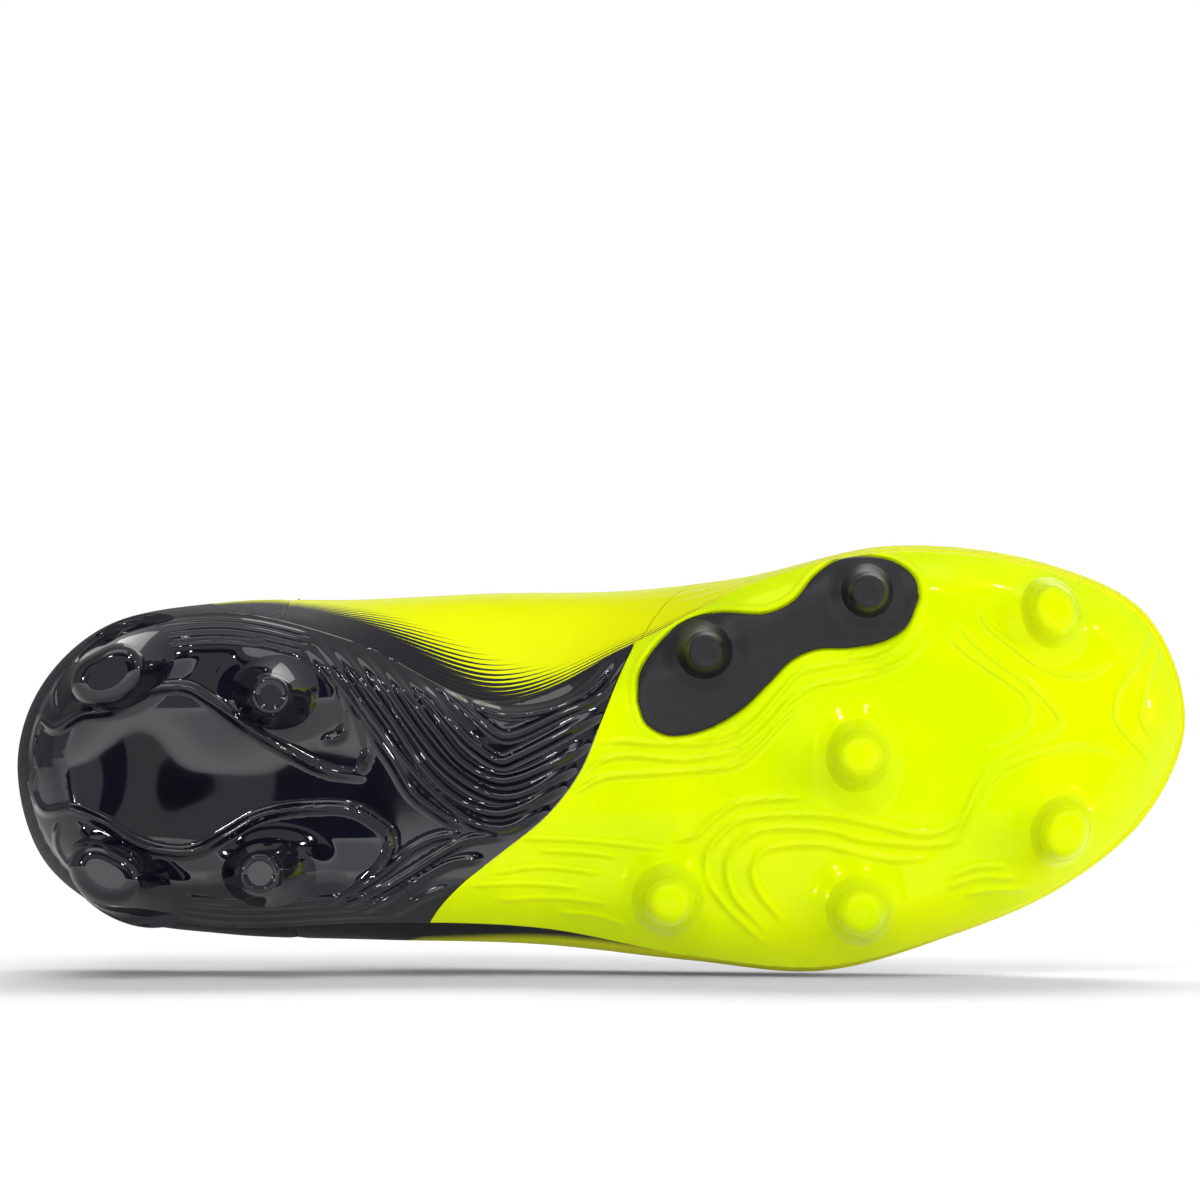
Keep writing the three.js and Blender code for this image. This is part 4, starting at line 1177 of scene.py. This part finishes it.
def stitches(name, lines, pitch=2.6, length=1.7, radius=0.22):
    """Rows of short raised stitches along lines of surface points."""
    parts = []
    for line in lines:
        run = run_lengths(line)
        for start in np.arange(1, run[-1] - length, pitch):
            at = start + length * np.linspace(0, 1, 4)
            p = np.column_stack([np.interp(at, run, line[:, i]) for i in range(3)])
            parts.append(tube("stitch", p, radius, 6))
    obj = joined(name, parts)
    shade(obj, 80)
    obj.data.materials.clear()
    obj.data.materials.append(THREAD)
    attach(obj, "boot")


STAY_STITCH_KNOTS = (5.06, 10.42)
STAY_STITCH_ROWS = (5.45, 5.85)
COLLAR_STITCH_ROW = 5.72
PROUD = -0.12  # the depth of the threads' middles, just out of the surface
SEAM_MARGIN = 0.07  # from the heel's seam to its stitches, in knots


def build_stitches():
    """Rows of stitches along the eyestays, under the collar and beside the heel's two seams."""
    lines = []
    for span in both_sides(*STAY_STITCH_KNOTS):
        ks = np.linspace(*span, 120)
        lines += [within(ks, [row], PROUD - OVERLAY_GAP - OVERLAY)[:, 0] for row in STAY_STITCH_ROWS]
    stitches("eyestay_stitches", lines)
    ks = np.linspace(-4.4, 4.4, 160)
    stitches("collar_stitches", [within(ks, [COLLAR_STITCH_ROW], PROUD)[:, 0]])
    rows = np.linspace(3.4, 5.6, 50)
    seams = (HEEL_SEAM + SEAM_MARGIN, KNOTS - HEEL_SEAM - SEAM_MARGIN)
    stitches("heel_seam_stitches", [within([k], rows, PROUD)[0] for k in seams])


# ---- Tongue and insole ----
FREE_KNOT = 5  # the tongue is free of the eyestays behind this knot
EDGE_ROW = 5.4  # where the tongue's edges lie under the eyestays
EDGE_RISE = 0.5  # how many rows they rise by at the last eyelets
EDGE_DEPTH = 5.3  # under the upper's face
EDGE_DROP = 2.6  # how much deeper they lie towards the toe
TONGUE_TAPER = 0.18
TONGUE_LEAN = np.array((-0.42, 0, 0.9)) / math.hypot(0.42, 0.9)


def tongue_edges(knot, past):
    """The tongue's two edges: under the eyestays at a knot, or past the last eyelets by a length."""
    k = max(knot, FREE_KNOT)
    row = EDGE_ROW + EDGE_RISE * min(1, max(0, (6.5 - k) / 1.5))
    depth = EDGE_DEPTH + EDGE_DROP * min(1, max(0, (k - 7.5) / 2))
    a, b = (within([q], [row], depth)[0, 0] for q in (k, KNOTS - k))
    middle = (a + b) / 2
    width = 1 - TONGUE_TAPER * (past / TONGUE_PAST) ** 3
    return [(p - middle) * width + middle + TONGUE_LEAN * past for p in (a, b)]


PAD_SEAMS = (PAD_FROM + 6.0, PAD_FROM + 11.5)
TONGUE_COLUMNS = 41
CORNER_LENGTH = 7  # over which the tongue's top corners draw in
THIN_EDGE = 0.48  # the share of the thickness that each face gives up at a rounded edge


def tongue_grid(places):
    """Points across the tongue at places along it, the direction out of it, and its width there."""
    edges = np.array([tongue_edges(*p) for p in places])
    for _ in range(6):
        edges[1:-1] = (edges[:-2] + 2 * edges[1:-1] + edges[2:]) / 4
    across = edges[:, 0] - edges[:, 1]
    up = unit(np.cross(-np.gradient(edges.mean(axis=1), axis=0), across))
    return edges[:, 1], across, up


def tongue_solid(name, places, thickness, side_round, end_round, corner=0.0):
    """A padded strip along the tongue. Its thickness falls to nothing at its rounded sides and top."""
    start, across, up = tongue_grid(places)
    width = np.linalg.norm(across, axis=1)[:, None]
    past = np.array([p[1] for p in places])[:, None]
    t = np.linspace(0, 1, TONGUE_COLUMNS)[None]
    narrowing = corner * ramp(past, TONGUE_PAST - CORNER_LENGTH, TONGUE_PAST) ** 2
    across_share = 0.5 + (t - 0.5) * (1 - narrowing)
    base = start[:, None] + across[:, None] * across_share[..., None]
    crown = TONGUE_CROWN * width * 4 * across_share * (1 - across_share)
    side = np.clip(np.minimum(t, 1 - t) * width / side_round, 0, 1)
    end = np.clip((TONGUE_PAST - past) / end_round, 0, 1)
    full = np.sqrt(side * (2 - side)) * np.sqrt(end * (2 - end))
    thinning = (1 - full) * thickness * THIN_EDGE
    out = crown - thinning
    inn = crown - thickness + thinning
    front = base + up[:, None] * out[..., None]
    back = base + up[:, None] * inn[..., None]
    uv = np.dstack(np.broadcast_arrays((t - 0.5) * width, run_lengths(start)[:, None])) * MM
    obj = slab(name, front, back, uv)
    shade(obj, 60)
    return obj


def build_tongue():
    along_stay = [(k, 0.0) for k in np.linspace(9.6, FREE_KNOT, 60)]
    free = [(FREE_KNOT, p) for p in np.linspace(0.8, PAD_FROM + 1.5, 24)]
    tongue = tongue_solid("tongue_sheet", along_stay + free, TONGUE, 3.0, 1.0)
    finished(tongue, "tongue_cloth", None, "tongue")
    fold = next(j for j in frame["joints"] if j["name"] == "tongue_fold")
    x, y, z = fold["pos_m"]
    x + 0.0045
    z - 0.0095
    x - 0.0035
    z + 0.0075
    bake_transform(tongue)
    build_cushion()


CUSHION_VOXEL = 1.1
CUSHION_CAP = 1.3
CUSHION_FRAMES = 20
CHANNEL_DEPTH = 0.9
CHANNEL_HALF_WIDTH = 1.6


def inflated(obj):
    """Blows a copy of a pad up as cloth, and keeps how far it swelled, up to a cap."""
    start = points_of(obj.data)
    cloth = obj.modifiers.new("cloth", "CLOTH")
    cloth.settings.use_pressure = True
    cloth.settings.uniform_pressure_force = 4
    cloth.settings.tension_stiffness = 12
    cloth.settings.bending_stiffness = 0.3
    cloth.settings.quality = 6
    cloth.settings.effector_weights.gravity = 0
    for n in range(1, CUSHION_FRAMES + 1):
        bpy.context.scene.frame_set(n)
    swollen = obj.evaluated_get(bpy.context.evaluated_depsgraph_get()).data
    moved = points_of(swollen) - start
    far = np.linalg.norm(moved, axis=1, keepdims=True)
    moved *= np.minimum(1, CUSHION_CAP * MM / np.maximum(far, 1e-9))
    obj.modifiers.remove(cloth)
    bpy.context.scene.frame_set(1)
    move_points(obj.data, start + moved)


def build_cushion():
    """The tongue's padded top: a soft pillow with two sewn channels across it."""
    places = [(FREE_KNOT, p) for p in np.linspace(PAD_FROM, TONGUE_PAST - 0.6, 44)]
    pad = tongue_solid("tongue_cushion", places, TONGUE_PAD - 0.4, 4.5, 5.0, corner=0.35)
    only(pad)
    pad.data.remesh_voxel_size = CUSHION_VOXEL * MM
    bpy.ops.object.voxel_remesh()
    inflated(pad)
    start, across, up = tongue_grid(places)
    lines = [np.argmin(abs(np.array([p[1] for p in places]) - seam)) for seam in PAD_SEAMS]
    co = points_of(pad.data) / MM
    ahead = unit(np.gradient(start, axis=0))
    for i in lines:
        middle = start[i] + across[i] / 2 - up[i] * TONGUE_PAD / 2
        off = (co - middle) @ ahead[i]
        above = np.clip((co - middle) @ up[i], -1, 1)
        co -= up[i] * (above * rib(abs(off), CHANNEL_HALF_WIDTH) * CHANNEL_DEPTH)[:, None]
    move_points(pad.data, co * MM)
    only(pad)
    smooth = pad.modifiers.new("smooth", "SUBSURF")
    smooth.levels = smooth.render_levels = 1
    bpy.ops.object.modifier_apply(modifier=smooth.name)
    bpy.ops.object.shade_smooth()
    finished(pad, "tongue_cloth", "tongue_top", "tongue_pad")
    pad.data.materials[0] = CUSHION_CLOTH


SHEET_END = 0.004  # a sheet's ends stop this short of the outline's, so that they have a width
SOFT_EDGE = 2.5


def dish(name, inset, under, top, slot, body, node, rows=150, columns=70, soft=0.0):
    """A sheet that lies over the sole's whole length inside the upper. Its top edge may be softened."""
    column = (1 - np.cos(np.pi * np.linspace(0, 1, columns))) / 2
    share = (1 - np.cos(np.pi * np.linspace(SHEET_END, 1 - SHEET_END, rows))) / 2
    lateral, medial = inset_edge(share * TOE, inset), inset_edge(KNOTS - share * TOE, inset)
    plan = medial[:, None] + (lateral - medial)[:, None] * column[None, :, None]
    x, y = plan[..., 0], plan[..., 1]
    edge, _ = distance_to(np.vstack([lateral, medial[::-1]]), x, y, closed=True)
    round_off = soft * (1 - np.clip(edge / SOFT_EDGE, 0, 1)) ** 2
    front = np.dstack([x, y, top(x, y) - round_off])
    back = np.dstack([x, y, under(x, y)])
    obj = slab(name, front, back)
    shade(obj, 50)
    return finished(obj, slot, body, node)


ARCH_RISE = 1.1
HEEL_CUP = 0.5


def build_insides():
    """The lasting board, and the sockliner on it, with its arch and heel cup."""
    def board(x, y):
        return sole_top(x, y) + CEMENT + UPPER + 3 * GAP

    def board_top(x, y):
        return board(x, y) + BOARD

    def sock(x, y):
        return board_top(x, y) + GAP

    def sock_top(x, y):
        arch = ARCH_RISE * np.exp(-((x + 25) / 34) ** 2) * np.exp(-((y + 12) / 15) ** 2)
        cup = HEEL_CUP * np.exp(-((x + 108) / 24) ** 2 - ((y - 2) / 16) ** 2)
        return sock(x, y) + SOCK + arch - cup
    dish("strobel_board_fibre", 10, board, board_top, "board", "boot", "strobel_board", 90, 40)
    insole = dish("sockliner_cloth", 8, sock, sock_top, "sock", "insole", "sockliner", soft=1.2)


# ---- Studio ----
def studio_surface(name, shade_of_grey, glow):
    """A pale surface that's seen from the boot's side only."""
    f = Finish(name, Base_Color=(*[shade_of_grey] * 3, 1), Roughness=0.9, Emission_Color=(1, 1, 1, 1),
               Emission_Strength=glow, Specular_IOR_Level=0.0)
    clear = f.tree.nodes.new("ShaderNodeBsdfTransparent")
    mixer = f.tree.nodes.new("ShaderNodeMixShader")
    facing = f.node("ShaderNodeNewGeometry", output="Backfacing")
    for link_from, slot in ((facing.socket, 0), (f.shader.outputs[0], 1), (clear.outputs[0], 2)):
        f.tree.links.new(link_from, mixer.inputs[slot])
    f.tree.links.new(mixer.outputs[0], f.tree.nodes["Material Output"].inputs["Surface"])
    return f


def stage_plane(name, centre, size, turn, material):
    bpy.ops.object.select_all(action="DESELECT")
    bpy.ops.mesh.primitive_plane_add(size=1, location=centre, rotation=(turn, 0, 0))
    plane = bpy.context.object
    plane.scale = (*size, 1)
    plane.name = name
    plane.data.materials.append(material)
    return plane


def area(name, place, size, radiance, target=(0, 0, 0), glossy=True, lights_only=None):
    """A rectangular lamp that faces its target. Reflections may leave it out."""
    data = bpy.data.lights.new(name, "AREA")
    data.shape = "RECTANGLE"
    data.size, data.size_y = size
    data.energy = radiance * math.pi * size[0] * size[1]
    lamp = bpy.data.objects.new(name, data)
    bpy.context.collection.objects.link(lamp)
    lamp.location = place
    lamp.rotation_euler = (Vector(target) - Vector(place)).to_track_quat("-Z", "Y").to_euler()
    lamp.visible_glossy = glossy
    if lights_only:
        lit = bpy.data.collections.new(name + "_lights")
        lit.objects.link(lights_only)
        lamp.light_linking.receiver_collection = lit


# Small bright lamps round the sole, for its sparkle.
GLINTS = [(-0.35, -0.5, -1.1), (0.3, -0.62, -1.2), (-0.62, -0.1, -1.2), (0.25, 0.5, -1.2), (-0.2, 0.75, -1.0),
          (0.95, -0.5, -1.0), (-0.9, 0.5, -1.0), (0.6, -1.0, -0.8), (1.3, 0.15, -0.75), (1.25, 0.3, -0.65),
          (1.3, -0.1, -0.6), (0.1, 1.0, -0.8), (-0.1, 0.95, -0.9)]
GLINT_SIZE = (0.045, 0.05)
GLINT_RADIANCE = 150
COLLAR = (0, 0, 0.05)  # what the lamps above the boot face
SIDE_DEPTH = 1.8  # of the upright surface, in metres
SIDE_TOP = 0.3


def side_surface():
    """Fades out at its top edge, and glows a little far from the boot, so that it stays even there."""
    f = studio_surface("side_floor", 0.88, 1.0)
    share = f.axis(1)
    far = 1 - share.step(-0.1, 0.22)
    f.wire("Emission Color", f.mix(far, (0.03, 0.03, 0.03), (0.7, 0.7, 0.7)))
    f.wire("Alpha", 1 - share.step(0.46, 0.5))
    return f.material


def build_studio():
    """A pale surface, soft lamps, small ones for sparkle, and the world."""
    # The boot is shown lying on its outer side, so one surface stands upright beside it. The
    # other is the ground under its studs. Neither hides the boot from its other side.
    side = cad_box[1][1] + 0.0012
    side_middle = (0, side, SIDE_TOP - SIDE_DEPTH / 2)
    side_floor = stage_plane("side_floor", side_middle, (6, SIDE_DEPTH), math.radians(90), side_surface())
    ground = stage_plane("ground", (0, 0, -0.0006), (8, 8), 0, studio_surface("ground", 0.5, 0.5).material)
    for ray in ("visible_diffuse", "visible_glossy", "visible_transmission", "visible_shadow"):
        setattr(ground, ray, False)
    area("key", (-0.2, -1.5, -0.75), (1.4, 0.9), 1.6)
    area("low_key", (-0.2, -1.25, -1.2), (1.0, 0.5), 3.0, glossy=False)
    area("back", (0.1, -1.15, 1.1), (1.1, 0.6), 8.2, (0, 0.05, -0.05), glossy=False, lights_only=side_floor)
    area("sole_key", (1.5, -0.35, -1.05), (0.5, 0.5), 8.0, glossy=False)
    area("sole_fill", (-0.7, 0.2, -1.6), (0.9, 0.9), 0.9, glossy=False)
    for i, place in enumerate(GLINTS):
        area(f"glint_{i}", place, GLINT_SIZE, GLINT_RADIANCE)
    area("top_fill", (0.5, -1.0, 1.5), (1.4, 1.4), 1.5, COLLAR)
    area("top_side", (-0.6, 1.3, 1.0), (1.2, 1.0), 1.6, COLLAR)
    build_world()


# The dark gaps in what reflections show below the boot: each one's middle and half-sizes.
DARK_GAPS = [(0.16, 0.0, 0.18, 0.15), (-0.17, 0.02, 0.05, 0.10), (0.5, 0.1, 0.14, 0.5),
             (-0.55, -0.1, 0.12, 0.5), (0.0, 0.55, 0.5, 0.12), (0.05, -0.5, 0.4, 0.13)]
BELOW_STRENGTH = 0.48
GAP_STRENGTH = 0.02
DIFFUSE_STRENGTH = 0.2


def build_world():
    """White all round for the camera. Reflections see a softer one, with dark gaps."""
    world = bpy.data.worlds.new("studio")
    bpy.context.scene.world = world
    world.use_nodes = True
    tree = world.node_tree
    path = tree.nodes.new("ShaderNodeLightPath")
    camera = Value(tree, path.outputs["Is Camera Ray"])
    glossy = Value(tree, path.outputs["Is Glossy Ray"])
    place = tree.nodes.new("ShaderNodeTexCoord")
    split = tree.nodes.new("ShaderNodeSeparateXYZ")
    tree.links.new(place.outputs["Generated"], split.inputs[0])
    x, y, z = (Value(tree, split.outputs[i]) for i in range(3))
    below = 1 - z.step(-0.25, -0.15)

    def hole(cx, cy, rx, ry):
        across = (x + z * cx) * (1 / rx)
        upright = (y + z * cy) * (1 / ry)
        return 1 - (across * across + upright * upright).step(0.96, 1.04)
    gaps = sum(hole(*gap) for gap in DARK_GAPS)
    under = (1 - gaps.math("MINIMUM", 1.0)) * BELOW_STRENGTH + GAP_STRENGTH
    seen = below * under + (1 - below) * (x.step(-0.7, 0.1) * 0.25 + 0.3)
    strength = camera + (1 - camera) * (glossy * seen + (1 - glossy) * DIFFUSE_STRENGTH)
    tree.links.new(strength.socket, tree.nodes["Background"].inputs["Strength"])
    tree.nodes["Background"].inputs["Color"].default_value = (1, 1, 1, 1)


def build_camera():
    """Looks straight up at the sole from far below, with the toe to the right and the inner side on top."""
    distance = 2.0
    view_width = 0.2923
    subject_height = 0.035
    data = bpy.data.cameras.new("camera")
    data.sensor_width = 36
    data.lens = 36 * distance / view_width
    data.clip_end = 20
    camera = bpy.data.objects.new("camera", data)
    bpy.context.collection.objects.link(camera)
    camera.location = (-0.00012, -0.0385, subject_height - distance)
    camera.rotation_euler = (math.pi, 0, 0)
    bpy.context.scene.camera = camera
    bpy.context.scene.view_settings.view_transform = "Standard"


build_sole()
build_upper()
build_binding()
build_stitches()
build_tongue()
build_insides()
build_studio()
build_camera()
